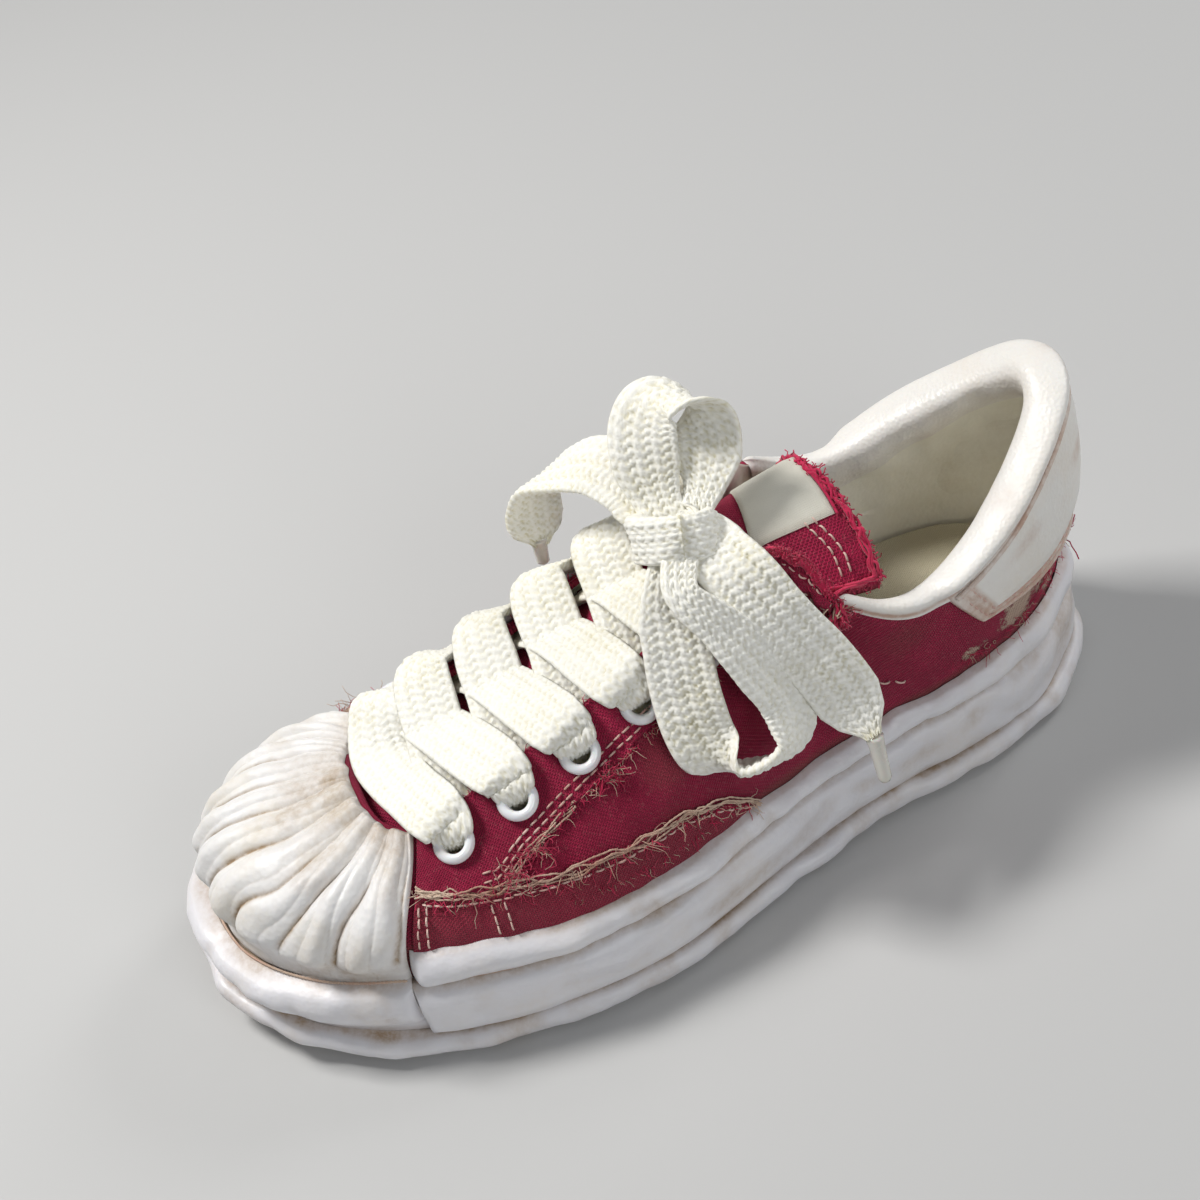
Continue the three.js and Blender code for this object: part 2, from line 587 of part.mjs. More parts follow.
add('outsole', outsole(), finish(colours.rubber, 0.55));
add('midsole', midsole(), finish(colours.rubber, 0.5));
add('toe_bumper', toeBumper(), finish(colours.rubber, 0.45));
add('foxing', foxing(), finish(colours.rubber, 0.5));
add('toe_cap', toeCap(), finish(colours.rubber, 0.5));
add('upper', upper([...lateralSeats, ...medialSeats]), finish(colours.canvas, 0.9));
add('heel_tab', heelTab(), finish(colours.leather, 0.55));
add('collar_pad', collarPad(), finish(colours.lining, 0.5));
add('tongue', tongue(), finish(colours.canvas, 0.9));
add('insole', insole(), finish(colours.footbed, 0.9));
for (const [side, seats] of [['lateral', lateralSeats], ['medial', medialSeats]]) {
  seats.forEach((seat, row) => add(`eyelet_${side}_${row + 1}`, eyelet(seat), finish(colours.eyelet, 0.25)));
}
add('lace_crossings', laceCrossings(lateralSeats, medialSeats), finish(colours.cotton, 0.95));
add('lace_knot', laceKnot(), finish(colours.cotton, 0.95));
for (const [name, part] of Object.entries(bow)) {
  add(name, ribbon(part.route, part.widths, part.facing, part.steps), finish(colours.cotton, 0.95));
}
for (const [name, ends] of Object.entries(aglets)) add(name, aglet(ends), finish(colours.tip, 0.3));

export default shoe;
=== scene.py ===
import itertools
import bpy
import numpy as np
from mathutils import Matrix, Vector


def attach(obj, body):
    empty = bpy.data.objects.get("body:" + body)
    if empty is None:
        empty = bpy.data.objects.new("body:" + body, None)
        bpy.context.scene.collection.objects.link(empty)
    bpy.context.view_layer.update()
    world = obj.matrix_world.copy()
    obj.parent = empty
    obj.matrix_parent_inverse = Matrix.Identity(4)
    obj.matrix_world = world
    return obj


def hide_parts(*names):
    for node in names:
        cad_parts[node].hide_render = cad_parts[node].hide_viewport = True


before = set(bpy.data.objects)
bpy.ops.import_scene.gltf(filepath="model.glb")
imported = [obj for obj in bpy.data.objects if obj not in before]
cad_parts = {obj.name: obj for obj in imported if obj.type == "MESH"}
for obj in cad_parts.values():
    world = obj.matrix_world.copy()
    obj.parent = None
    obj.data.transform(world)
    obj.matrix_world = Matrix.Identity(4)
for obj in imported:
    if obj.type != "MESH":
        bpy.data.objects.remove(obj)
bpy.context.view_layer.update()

# view and light, in metres
shot = {"place": (0.4360, -0.0635, 0.5268), "forward": (-0.7051, 0.1012, -0.7018),
    "up": (-0.6197, 0.3932, 0.6793), "lens": 69.3}
lamps = [
    {
        "name": "keySoftbox", "place": (-0.40, -0.52, 1.02), "aim": (0, 0, 0.04),
        "size": 0.30, "power": 13, "colour": (1, 0.985, 0.965),
    },
    {
        "name": "sideSoftbox", "place": (1.15, 0.30, 0.80), "aim": (0, 0, 0.03),
        "size": 0.7, "power": 5.2, "colour": (0.96, 0.98, 1),
    },
    {
        "name": "backStrip", "place": (-0.30, 0.95, 0.85), "aim": (0, 0.03, 0.06),
        "size": 0.4, "power": 4, "colour": (1, 1, 1),
    },
]
world = {"colour": (0.80, 0.82, 0.85), "strength": 0.22}
floorLook = {"colour": (0.50, 0.50, 0.495), "roughness": 0.75, "half": 3.0}


def makeCamera():
    forward = Vector(shot["forward"]).normalized()
    right = forward.cross(Vector(shot["up"])).normalized()
    upward = right.cross(forward)
    data = bpy.data.cameras.new("camera")
    data.lens = shot["lens"]
    data.sensor_width = 36
    data.clip_start = 0.01
    camera = bpy.data.objects.new("camera", data)
    bpy.context.collection.objects.link(camera)
    camera.matrix_world = (
        Matrix.Translation(shot["place"]) @ Matrix((right, upward, -forward)).transposed().to_4x4()
    )
    bpy.context.scene.camera = camera


def makeLights():
    for lamp in lamps:
        data = bpy.data.lights.new(lamp["name"], "AREA")
        data.shape = "SQUARE"
        data.size = lamp["size"]
        data.energy = lamp["power"]
        data.color = lamp["colour"]
        light = bpy.data.objects.new(lamp["name"], data)
        bpy.context.collection.objects.link(light)
        light.location = lamp["place"]
        away = Vector(lamp["place"]) - Vector(lamp["aim"])
        light.rotation_euler = away.to_track_quat("Z", "Y").to_euler()
    sky = bpy.data.worlds.new("studio")
    sky.use_nodes = True
    sky.node_tree.nodes["Background"].inputs["Color"].default_value = (*world["colour"], 1)
    sky.node_tree.nodes["Background"].inputs["Strength"].default_value = world["strength"]
    bpy.context.scene.world = sky
    bpy.context.scene.view_settings.view_transform = "Standard"


makeCamera()
makeLights()
print("camera and lights made")

# the shoe's last, in millimetres: a station for each row round the foot
size = {"length": 279, "ball": 113, "heel": 99, "toeSpring": 9, "heelLift": 2.5, "sole": 7, "deck": 24,
    "wall": 2, "fit": 0.3, "setBack": 1.9}
stations = np.array([
    # plan x, plan y, edge x, edge y, edge z, rise, flare, drop, reach, inset
    [-0.080, -0.491, -0.018, -0.269, 0.570, 26, 2.0, 3, 30, 13.5],
    [0.177, -0.470, 0.080, -0.267, 0.570, 25, 2.5, 3.5, 28, 13],
    [0.381, -0.394, 0.150, -0.256, 0.570, 23, 3.0, 5, 22, 12],
    [0.504, -0.283, 0.200, -0.226, 0.580, 21, 3.0, 7, 17, 10.5],
    [0.565, -0.161, 0.200, -0.148, 0.645, 20, 2.5, 9, 17, 9.5],
    [0.553, -0.036, 0.186, -0.043, 0.747, 22, 2.0, 13, 15, 9.5],
    [0.470, 0.079, 0.170, 0.065, 0.863, 24, 1.5, 17, 12, 9.5],
    [0.400, 0.172, 0.177, 0.172, 0.974, 25, 1.0, 21, 9, 9.5],
    [0.366, 0.258, 0.286, 0.217, 0.848, 20, 2.0, 18, 2, 9.5],
    [0.346, 0.341, 0.305, 0.297, 0.707, 14, 3.5, 14, 1.5, 9.5],
    [0.274, 0.434, 0.258, 0.401, 0.824, 18, 5.0, 18, 2, 9.5],
    [0.080, 0.505, 0.092, 0.496, 0.996, 24, 7.0, 26, 5, 9.5],
    [-0.159, 0.502, -0.092, 0.496, 0.996, 24, 7.0, 26, 5, 9.5],
    [-0.319, 0.434, -0.258, 0.401, 0.819, 18, 5.0, 18, 2, 9.5],
    [-0.367, 0.341, -0.308, 0.297, 0.701, 14, 3.5, 14, 1.5, 9.5],
    [-0.372, 0.251, -0.292, 0.217, 0.835, 20, 2.0, 18, 2, 9.5],
    [-0.376, 0.158, -0.179, 0.170, 0.969, 25, 1.0, 21, 9, 9.5],
    [-0.398, 0.057, -0.165, 0.057, 0.863, 24, 1.5, 17, 12, 9.5],
    [-0.438, -0.065, -0.168, -0.050, 0.747, 22, 2.0, 13, 15, 9.5],
    [-0.460, -0.186, -0.172, -0.150, 0.645, 20, 2.5, 9, 17, 9.5],
    [-0.451, -0.301, -0.170, -0.228, 0.580, 21, 3.0, 7, 17, 10.5],
    [-0.389, -0.398, -0.133, -0.257, 0.570, 23, 3.0, 5, 22, 12],
    [-0.265, -0.466, -0.090, -0.267, 0.570, 25, 2.5, 3.5, 28, 13],
])
stationCount = len(stations)
capEnd, capStart = 2.82, 20.1 - stationCount
turn = 2 * np.pi


def unit(v):
    return v / np.maximum(np.linalg.norm(v, axis=-1, keepdims=True), 1e-9)


def smooth(x, low, high):
    k = np.clip((x - low) / (high - low), 0, 1)
    return k * k * (3 - 2 * k)


def mix(a, b, k):
    return a + (b - a) * k


def vec(*xyz):
    return np.stack(np.broadcast_arrays(*[np.asarray(c, float) for c in xyz]), -1)


# Catmull-Rom through a list of numbers or points; k counts along the list
def spline(values, k, closed=False):
    values = np.asarray(values, float)
    n = len(values)
    i = np.floor(k).astype(int)
    if not closed:
        i = np.clip(i, 0, n - 2)
    f = k - i
    if values.ndim > 1:
        f = f[..., None]
    if closed:
        a, b, c, d = [values[(i + j) % n] for j in (-1, 0, 1, 2)]
    else:
        b, c = values[i], values[i + 1]
        first = (i == 0)[..., None] if values.ndim > 1 else i == 0
        last = (i == n - 2)[..., None] if values.ndim > 1 else i == n - 2
        a = np.where(first, 2 * b - c, values[np.maximum(i - 1, 0)])
        d = np.where(last, 2 * c - b, values[np.minimum(i + 2, n - 1)])
    return 0.5 * (2 * b + (c - a) * f + (2 * a - 5 * b + 4 * c - d) * f**2 + (3 * b - a - 3 * c + d) * f**3)


def around(u, *columns):
    return spline(stations[:, columns if len(columns) > 1 else columns[0]], np.asarray(u, float), True)


def rawPlan(u):
    return around(u, 0, 1) * (size["ball"], size["length"])


outline = rawPlan(np.linspace(0, stationCount, 400))
middle = (outline.min(0) + outline.max(0)) / 2


def planNormal(u):
    step = rawPlan(u + 0.01) - rawPlan(u - 0.01)
    return unit(np.stack([step[..., 1], -step[..., 0]], -1))


def planPoint(u, inset):
    return rawPlan(u) - middle - planNormal(u) * np.asarray(inset)[..., None]


def spring(y):
    toe = np.clip((-68 - y) / 70, 0, 1.1)
    heel = np.clip((y - 112) / 28, 0, 1.1)
    return size["toeSpring"] * toe**2 + size["heelLift"] * heel**2


def deckZ(y):  # where the footbed and the upper stand on the midsole
    return size["deck"] + 0.6 * spring(y) + size["fit"]


def sideY(u):
    return planPoint(u, np.zeros_like(u))[..., 1]


def grooveZ(u):
    y = sideY(u)
    return 25.2 + 2.4 * smooth(-y, 0, 110) + 3.5 * smooth(y, 50, 135)


def foxingTopZ(u):
    y = sideY(u)
    return grooveZ(u) + 7.5 + 2.5 * smooth(-y, 0, 60) + 3 * smooth(y, 60, 130)


def lastPoint(u, t):
    u, t = np.broadcast_arrays(np.asarray(u, float), np.asarray(t, float))
    out = planNormal(u)
    foot = planPoint(u, around(u, 9))
    p0 = vec(foot[..., 0], foot[..., 1], deckZ(foot[..., 1]))
    edge = around(u, 2, 3, 4) * (size["ball"], size["length"], size["heel"])
    p3 = edge - vec(middle[0], middle[1], 0)
    rise, flare, drop, reach = [around(u, k) for k in (5, 6, 7, 8)]
    p1 = p0 + vec(out[..., 0] * flare, out[..., 1] * flare, rise)
    p2 = p3 + vec(out[..., 0] * reach, out[..., 1] * reach, -drop)
    t = t[..., None]
    return (1 - t)**3 * p0 + 3 * (1 - t)**2 * t * p1 + 3 * (1 - t) * t**2 * p2 + t**3 * p3


def lastNormal(u, t):
    along = lastPoint(u + 0.02, t) - lastPoint(u - 0.02, t)
    upward = lastPoint(u, np.minimum(t + 0.01, 1)) - lastPoint(u, np.maximum(t - 0.01, 0))
    return unit(np.cross(along, upward))


def solve(rising, shape, low=0.0, high=1.0):  # bisection, for a whole array at once
    low = np.full(shape, low, float)
    high = np.full(shape, high, float)
    for _ in range(24):
        half = (low + high) / 2
        below = rising(half) < 0
        low = np.where(below, half, low)
        high = np.where(below, high, half)
    return (low + high) / 2


def tAtHeight(u, z):
    u, z = np.broadcast_arrays(np.asarray(u, float), np.asarray(z, float))
    return solve(lambda t: lastPoint(u, t)[..., 2] - z, u.shape)


def tFromEdge(u, distance):
    u, distance = np.broadcast_arrays(np.asarray(u, float), np.asarray(distance, float))
    top = lastPoint(u, np.ones_like(u))
    return solve(lambda t: distance - np.linalg.norm(lastPoint(u, t) - top, axis=-1), u.shape)


def cells(i, seed):
    with np.errstate(over="ignore"):
        h = i[..., 0] * 73856093 ^ i[..., 1] * 19349663 ^ i[..., 2] * 83492791 ^ np.int64(seed * 7919 + 13)
        h = (h ^ (h >> 13)) * 1274126177
        return ((h ^ (h >> 16)) & 0xFFFF) / 65535


def wobble(points, grain, seed, layers=1):  # smooth noise from -1 to 1, grain millimetres across
    total = 0
    for layer in range(layers):
        p = points / grain * 2**layer + 31.7 * layer
        i = np.floor(p).astype(np.int64)
        f = p - i
        f = f * f * (3 - 2 * f)
        value = 0
        for corner in itertools.product((0, 1), repeat=3):
            weight = np.prod(np.where(np.array(corner) == 1, f, 1 - f), axis=-1)
            value = value + weight * cells(i + np.array(corner), seed + layer)
        total = total + (2 * value - 1) / 2**layer
    return total


# mesh making
def gridQuads(columns, rows, closed=False, start=0):
    c = np.arange(columns if closed else columns - 1)[:, None]
    r = np.arange(rows - 1)[None, :]
    n = (c + 1) % columns
    return (
        start + np.stack([c * rows + r, n * rows + r, n * rows + r + 1, c * rows + r + 1], -1).reshape(-1,
            4)
    )


def shell(outer, inner, closed=False):  # a plate between two grids of points
    columns, rows = outer.shape[:2]
    count = columns * rows
    quads = [gridQuads(columns, rows, closed), gridQuads(columns, rows, closed, count)[:, ::-1]]
    c = np.arange(columns if closed else columns - 1)
    n = (c + 1) % columns
    for r, flip in ((0, False), (rows - 1, True)):
        rim = np.stack([c * rows + r, count + c * rows + r, count + n * rows + r, n * rows + r], -1)
        quads.append(rim[:, ::-1] if flip else rim)
    if not closed:
        r = np.arange(rows - 1)
        for c, flip in ((0, False), (columns - 1, True)):
            rim = np.stack([c * rows + r, c * rows + r + 1, count + c * rows + r + 1, count + c * rows + r],
                -1)
            quads.append(rim[:, ::-1] if flip else rim)
    return np.concatenate([outer.reshape(-1, 3), inner.reshape(-1, 3)]), np.concatenate(quads)


def pieceMesh(name, points, faces, material, replaced=(), cloth=None, masks=None, second=None):
    mesh = bpy.data.meshes.new(name)
    faces = [faces] if isinstance(faces, np.ndarray) else faces
    everyFace = [face for group in faces for face in group.tolist()]
    place = (points - (0, size["setBack"], 0)) * 0.001
    mesh.from_pydata(place.tolist(), [], everyFace)
    mesh.polygons.foreach_set("use_smooth", np.ones(len(mesh.polygons), bool))
    if cloth is not None:
        corners = np.empty(len(mesh.loops), np.int32)
        mesh.loops.foreach_get("vertex_index", corners)
        mesh.uv_layers.new(name="cloth").uv.foreach_set("vector",
            (cloth[corners] * 0.1).astype(np.float32).ravel())
    for mask, values in (masks or {}).items():
        mesh.attributes.new(mask, "FLOAT", "POINT").data.foreach_set("value",
            values.astype(np.float32).ravel())
    mesh.materials.append(material)
    if second is not None:
        other, chosen = second
        mesh.materials.append(other)
        mesh.polygons.foreach_set("material_index", chosen.astype(np.int32))
    mesh.update()
    piece = bpy.data.objects.new(name, mesh)
    bpy.context.collection.objects.link(piece)
    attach(piece, "root")
    if replaced:
        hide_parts(*replaced)
    return piece


def gridPiece(name, points, material, replaced, dirtAndShade):  # one sheet of rows and columns
    quads = gridQuads(*points.shape[:2])
    pieceMesh(name, points.reshape(-1, 3), quads, material, [replaced],
        masks={"dirtAndShade": dirtAndShade.reshape(-1)})


def tubes(paths, radii, sides):  # many thin tubes: paths (n, m, 3), radii (n, m)
    aside = (0.31, 0.52, 0.79)  # a direction that no path follows
    paths = np.asarray(paths, float)
    n, m = paths.shape[:2]
    tangent = unit(np.gradient(paths, axis=1))
    first = unit(np.cross(tangent, aside))
    second = np.cross(tangent, first)
    angle = np.arange(sides) * turn / sides
    ring = first[:, :, None] * np.cos(angle)[:, None] + second[:, :, None] * np.sin(angle)[:, None]
    points = paths[:, :, None] + ring * np.broadcast_to(radii, (n, m))[:, :, None, None]
    k = np.arange(n)[:, None, None] * m * sides
    r = np.arange(m - 1)[None, :, None] * sides
    s = np.arange(sides)[None, None, :]
    t = (s + 1) % sides
    walls = np.stack([k + r + s, k + r + t, k + r + sides + t, k + r + sides + s], -1).reshape(-1, 4)
    low = np.arange(n)[:, None] * m * sides + np.arange(sides)[::-1]
    high = np.arange(n)[:, None] * m * sides + (m - 1) * sides + np.arange(sides)
    return points.reshape(-1, 3), [walls, low, high]


def joined(parts):  # several (points, [faces]) as one
    points, faces, start = [], [], 0
    for p, f in parts:
        points.append(p)
        faces += [group + start for group in ([f] if isinstance(f, np.ndarray) else f)]
        start += len(p)
    return np.concatenate(points), faces


# material building
def feed(tree, socket, value):
    if isinstance(value, bpy.types.NodeSocket):
        tree.links.new(value, socket)
    elif isinstance(value, tuple) and len(value) == 3 and socket.type == "RGBA":
        socket.default_value = (*value, 1)
    else:
        socket.default_value = value


def node(tree, kind, settings=None, **inputs):
    made = tree.nodes.new(kind)
    for key, value in (settings or {}).items():
        setattr(made, key, value)
    for key, value in inputs.items():
        feed(tree, made.inputs[key.replace("_", " ")], value)
    return made


def calc(tree, operation, a, b=0.0, clamp=False):
    made = tree.nodes.new("ShaderNodeMath")
    made.operation = operation
    made.use_clamp = clamp
    for socket, value in zip(made.inputs, (a, b)):
        feed(tree, socket, value)
    return made.outputs[0]


def mixColour(tree, factor, a, b):
    made = tree.nodes.new("ShaderNodeMix")
    made.data_type = "RGBA"
    for index, value in ((0, factor), (6, a), (7, b)):
        feed(tree, made.inputs[index], value)
    return made.outputs[2]


def between(tree, value, low, high, first=0.0, last=1.0):
    made = node(tree, "ShaderNodeMapRange", {"interpolation_type": "SMOOTHSTEP"})
    for socket, number in zip(made.inputs, (value, low, high, first, last)):
        feed(tree, socket, number)
    return made.outputs[0]


def noise(tree, vector, scale, detail=3.0, roughness=0.55):
    return node(tree, "ShaderNodeTexNoise", Vector=vector, Scale=scale, Detail=detail,
        Roughness=roughness).outputs["Fac"]


def objectPlace(tree):
    return node(tree, "ShaderNodeTexCoord").outputs["Object"]


def mask(tree, name):
    return node(tree, "ShaderNodeAttribute", {"attribute_name": name}).outputs["Fac"]


def newGroup(name, inputs, outputs):
    group = bpy.data.node_groups.new(name, "ShaderNodeTree")
    for label, kind, start in inputs:
        made = group.interface.new_socket(label, in_out="INPUT", socket_type=kind)
        made.default_value = (*start, 1) if kind == "NodeSocketColor" else start
    for label, kind in outputs:
        group.interface.new_socket(label, in_out="OUTPUT", socket_type=kind)
    return group, group.nodes.new("NodeGroupInput").outputs, group.nodes.new("NodeGroupOutput").inputs


def placed(tree, group, **inputs):
    made = tree.nodes.new("ShaderNodeGroup")
    made.node_tree = group
    for key, value in inputs.items():
        feed(tree, made.inputs[key], value)
    return made.outputs


def makeSoilAndShade():  # dirt that gathers where the mask is high, broken up by noise; on the laces the mask also carries painted shade
    tree, given, put = newGroup(
        "soilAndShade",
        [("Clean", "NodeSocketColor", (0.8, 0.8, 0.8)), ("SoilAndShade", "NodeSocketColor", (0.3, 0.2, 0.1)),
         ("Tint", "NodeSocketColor", (0.8, 0.7, 0.6)), ("Mask", "NodeSocketFloat", 0.0),
         ("Film", "NodeSocketFloat", 0.2)],
        [("Colour", "NodeSocketColor"), ("Grime", "NodeSocketFloat")],
    )
    place = objectPlace(tree)
    broad = noise(tree, place, 38.0, 4.0, 0.6)
    fine = noise(tree, place, 420.0, 4.0, 0.65)
    film = calc(tree, "MULTIPLY", between(tree, broad, 0.42, 0.68), given["Film"])
    film = calc(tree, "MULTIPLY", film, between(tree, fine, 0.3, 0.7, 0.55, 1.0))
    loaded = calc(tree, "MULTIPLY", given["Mask"], between(tree, fine, 0.25, 0.75, 0.6, 1.35))
    loaded = calc(tree, "MULTIPLY", loaded, between(tree, broad, 0.3, 0.7, 0.55, 1.3), clamp=True)
    tinted = mixColour(tree, film, given["Clean"], given["Tint"])
    tree.links.new(mixColour(tree, loaded, tinted, given["SoilAndShade"]), put["Colour"])
    tree.links.new(calc(tree, "ADD", loaded, film, clamp=True), put["Grime"])
    return tree


def makeSkin():  # fine pores and scratches of moulded rubber and coated leather
    tree, given, put = newGroup(
        "skinGrain", [("Scale", "NodeSocketFloat", 600.0), ("Pebble", "NodeSocketFloat", 0.5)],
        [("Height", "NodeSocketFloat")],
    )
    place = objectPlace(tree)
    pores = node(tree, "ShaderNodeTexVoronoi", {"feature": "SMOOTH_F1"}, Vector=place, Scale=given["Scale"],
        Smoothness=0.4).outputs["Distance"]
    rough = noise(tree, place, 900.0, 4.0, 0.7)
    slow = noise(tree, place, 120.0, 3.0, 0.5)
    total = calc(tree, "ADD", calc(tree, "MULTIPLY", pores, given["Pebble"]),
        calc(tree, "MULTIPLY", rough, 0.35))
    tree.links.new(calc(tree, "ADD", total, calc(tree, "MULTIPLY", slow, 0.9)), put["Height"])
    return tree


def makeWeave():  # plain weave from the cloth map: yarns over and under, Pitch of them in 10 mm
    tree, given, put = newGroup(
        "plainWeave", [("Pitch", "NodeSocketFloat", 10.0), ("Slub", "NodeSocketFloat", 0.3)],
        [("Height", "NodeSocketFloat"), ("Gap", "NodeSocketFloat"), ("Yarn", "NodeSocketFloat")],
    )
    cloth = node(tree, "ShaderNodeUVMap", {"uv_map": "cloth"}).outputs["UV"]
    drift = node(tree, "ShaderNodeTexNoise", Vector=cloth, Scale=0.9, Detail=2.0).outputs["Color"]
    moved = node(tree, "ShaderNodeVectorMath", {"operation": "MULTIPLY_ADD"})
    feed(tree, moved.inputs[0], drift)
    moved.inputs[1].default_value = (0.035, 0.035, 0)
    feed(tree, moved.inputs[2], cloth)
    split = node(tree, "ShaderNodeSeparateXYZ", Vector=moved.outputs[0])
    waves = []
    for axis in ("X", "Y"):
        turned = calc(tree, "MULTIPLY", split.outputs[axis], given["Pitch"])
        waves.append(calc(tree, "SINE", calc(tree, "MULTIPLY", turned, turn)))
    over = calc(tree, "MULTIPLY", waves[0], waves[1])
    ridge = calc(tree, "MAXIMUM", calc(tree, "ABSOLUTE", waves[0]), calc(tree, "ABSOLUTE", waves[1]))
    yarn = noise(tree, cloth, 26.0, 3.0, 0.7)
    height = calc(tree, "ADD", calc(tree, "MULTIPLY", over, 0.35), calc(tree, "MULTIPLY", ridge, 0.55))
    height = calc(tree, "ADD", height, calc(tree, "MULTIPLY", yarn, given["Slub"]))
    tree.links.new(height, put["Height"])
    tree.links.new(between(tree, ridge, 0.75, 0.35), put["Gap"])
    tree.links.new(yarn, put["Yarn"])
    return tree


soilAndShade = makeSoilAndShade()
skinGrain = makeSkin()
plainWeave = makeWeave()


def newMaterial(name):
    material = bpy.data.materials.new(name)
    material.use_nodes = True
    tree = material.node_tree
    return material, tree, tree.nodes["Principled BSDF"]


def bumped(tree, shader, height, distance):
    bump = node(tree, "ShaderNodeBump", Height=height, Distance=distance)
    tree.links.new(bump.outputs["Normal"], shader.inputs["Normal"])


def soiledAndShadedColour(tree, shader, look):
    colours = {"Clean": look["clean"], "SoilAndShade": look["soilAndShade"], "Tint": look["tint"]}
    aged = placed(tree, soilAndShade, **colours, Mask=mask(tree, "dirtAndShade"), Film=look["film"])
    feed(tree, shader.inputs["Base Color"], aged["Colour"])
    return aged


def rubberLook(name, look):
    material, tree, shader = newMaterial(name)
    aged = soiledAndShadedColour(tree, shader, look)
    uneven = noise(tree, objectPlace(tree), 60.0, 4.0, 0.6)
    gloss = between(tree, uneven, 0.35, 0.7, look["gloss"][0], look["gloss"][1])
    feed(tree, shader.inputs["Roughness"],
        calc(tree, "ADD", gloss, calc(tree, "MULTIPLY", aged["Grime"], 0.25), clamp=True))
    shader.inputs["Subsurface Weight"].default_value = 0.06
    shader.inputs["Subsurface Radius"].default_value = (0.004, 0.003, 0.002)
    shader.inputs["Subsurface Scale"].default_value = 0.5
    shader.inputs["Coat Weight"].default_value = look["coat"]
    shader.inputs["Coat Roughness"].default_value = 0.3
    grain = placed(tree, skinGrain, Scale=look["grain"], Pebble=look["pebble"])
    bumped(tree, shader, grain["Height"], look["depth"])
    return material


def canvasLook(name, look):
    material, tree, shader = newMaterial(name)
    cloth = placed(tree, plainWeave, Pitch=look["pitch"], Slub=0.45)
    place = objectPlace(tree)
    faded = between(tree, noise(tree, place, 30.0, 5.0, 0.65), 0.35, 0.75)
    speck = between(tree, noise(tree, place, 800.0, 3.0, 0.7), 0.52, 0.72)
    colour = mixColour(tree, faded, look["deep"], look["bright"])
    colour = mixColour(tree, calc(tree, "MULTIPLY", cloth["Gap"], 0.7), colour, look["gap"])
    colour = mixColour(tree, calc(tree, "MULTIPLY", speck, 0.22), colour, look["dust"])
    torn = noise(tree, place, 330.0, 5.0, 0.75)
    bare = between(tree, calc(tree, "ADD", calc(tree, "MULTIPLY", torn, 0.9), mask(tree, "worn")), 0.98, 1.12)
    thread = mixColour(tree, cloth["Yarn"], look["bareDark"], look["bare"])
    thread = mixColour(tree, calc(tree, "MULTIPLY", cloth["Gap"], 0.75), thread, look["deep"])
    colour = mixColour(tree, bare, colour, thread)
    colour = mixColour(tree, calc(tree, "MULTIPLY", mask(tree, "dirtAndShade"), 0.75), colour, look["grime"])
    feed(tree, shader.inputs["Base Color"], colour)
    shader.inputs["Roughness"].default_value = 0.88
    shader.inputs["Specular IOR Level"].default_value = 0.25
    shader.inputs["Sheen Weight"].default_value = look["sheen"]
    shader.inputs["Sheen Roughness"].default_value = 0.5
    shader.inputs["Sheen Tint"].default_value = (*look["sheenTint"], 1)
    height = calc(tree, "ADD", cloth["Height"], calc(tree, "MULTIPLY", torn, 0.5))
    height = calc(tree, "ADD", height, calc(tree, "MULTIPLY", bare, 0.8))
    bumped(tree, shader, height, look["depth"])
    return material


def cottonLook(name, look):  # fuzzy yarn, turning yellower where the mask is high: on the laces this is painted shade in the braid's valleys and where one strap lies under another, and some dirt
    material, tree, shader = newMaterial(name)
    soiledAndShadedColour(tree, shader, look)
    shader.inputs["Roughness"].default_value = 0.9
    shader.inputs["Specular IOR Level"].default_value = 0.2
    shader.inputs["Sheen Weight"].default_value = look["sheen"]
    shader.inputs["Sheen Roughness"].default_value = 0.45
    shader.inputs["Subsurface Weight"].default_value = look["through"]
    shader.inputs["Subsurface Radius"].default_value = (0.003, 0.0025, 0.0015)
    shader.inputs["Subsurface Scale"].default_value = 0.6
    fuzz = noise(tree, objectPlace(tree), 1400.0, 3.0, 0.7)
    bumped(tree, shader, fuzz, look["depth"])
    return material


def plasticLook(name, look):
    material, tree, shader = newMaterial(name)
    soiledAndShadedColour(tree, shader, look)
    scuff = noise(tree, objectPlace(tree), 300.0, 4.0, 0.6)
    feed(tree, shader.inputs["Roughness"], between(tree, scuff, 0.3, 0.8, look["gloss"][0], look["gloss"][1]))
    shader.inputs["Coat Weight"].default_value = look["coat"]
    shader.inputs["Coat Roughness"].default_value = 0.12
    shader.inputs["Subsurface Weight"].default_value = look["through"]
    shader.inputs["Subsurface Scale"].default_value = 0.002
    bumped(tree, shader, scuff, 0.0001)
    return material


rubber = rubberLook("agedRubber", {
    "clean": (0.745, 0.735, 0.76), "soilAndShade": (0.40, 0.29, 0.195), "tint": (0.70, 0.635, 0.565), "film": 0.45,
    "gloss": (0.34, 0.55), "coat": 0.12, "grain": 700.0, "pebble": 0.35, "depth": 0.00022,
})
capRubber = rubberLook("creasedCapRubber", {
    "clean": (0.775, 0.765, 0.755), "soilAndShade": (0.37, 0.265, 0.165), "tint": (0.68, 0.615, 0.49), "film": 0.55,
    "gloss": (0.40, 0.60), "coat": 0.05, "grain": 520.0, "pebble": 0.5, "depth": 0.0003,
})
whiteLeather = rubberLook("creamLeather", {
    "clean": (0.80, 0.78, 0.74), "soilAndShade": (0.53, 0.37, 0.29), "tint": (0.72, 0.63, 0.52), "film": 0.35,
    "gloss": (0.36, 0.50), "coat": 0.08, "grain": 900.0, "pebble": 1.1, "depth": 0.00012,
})
lining = rubberLook("softLining", {
    "clean": (0.86, 0.84, 0.75), "soilAndShade": (0.50, 0.43, 0.29), "tint": (0.72, 0.68, 0.54), "film": 0.35,
    "gloss": (0.45, 0.60), "coat": 0.03, "grain": 800.0, "pebble": 0.4, "depth": 0.00015,
})
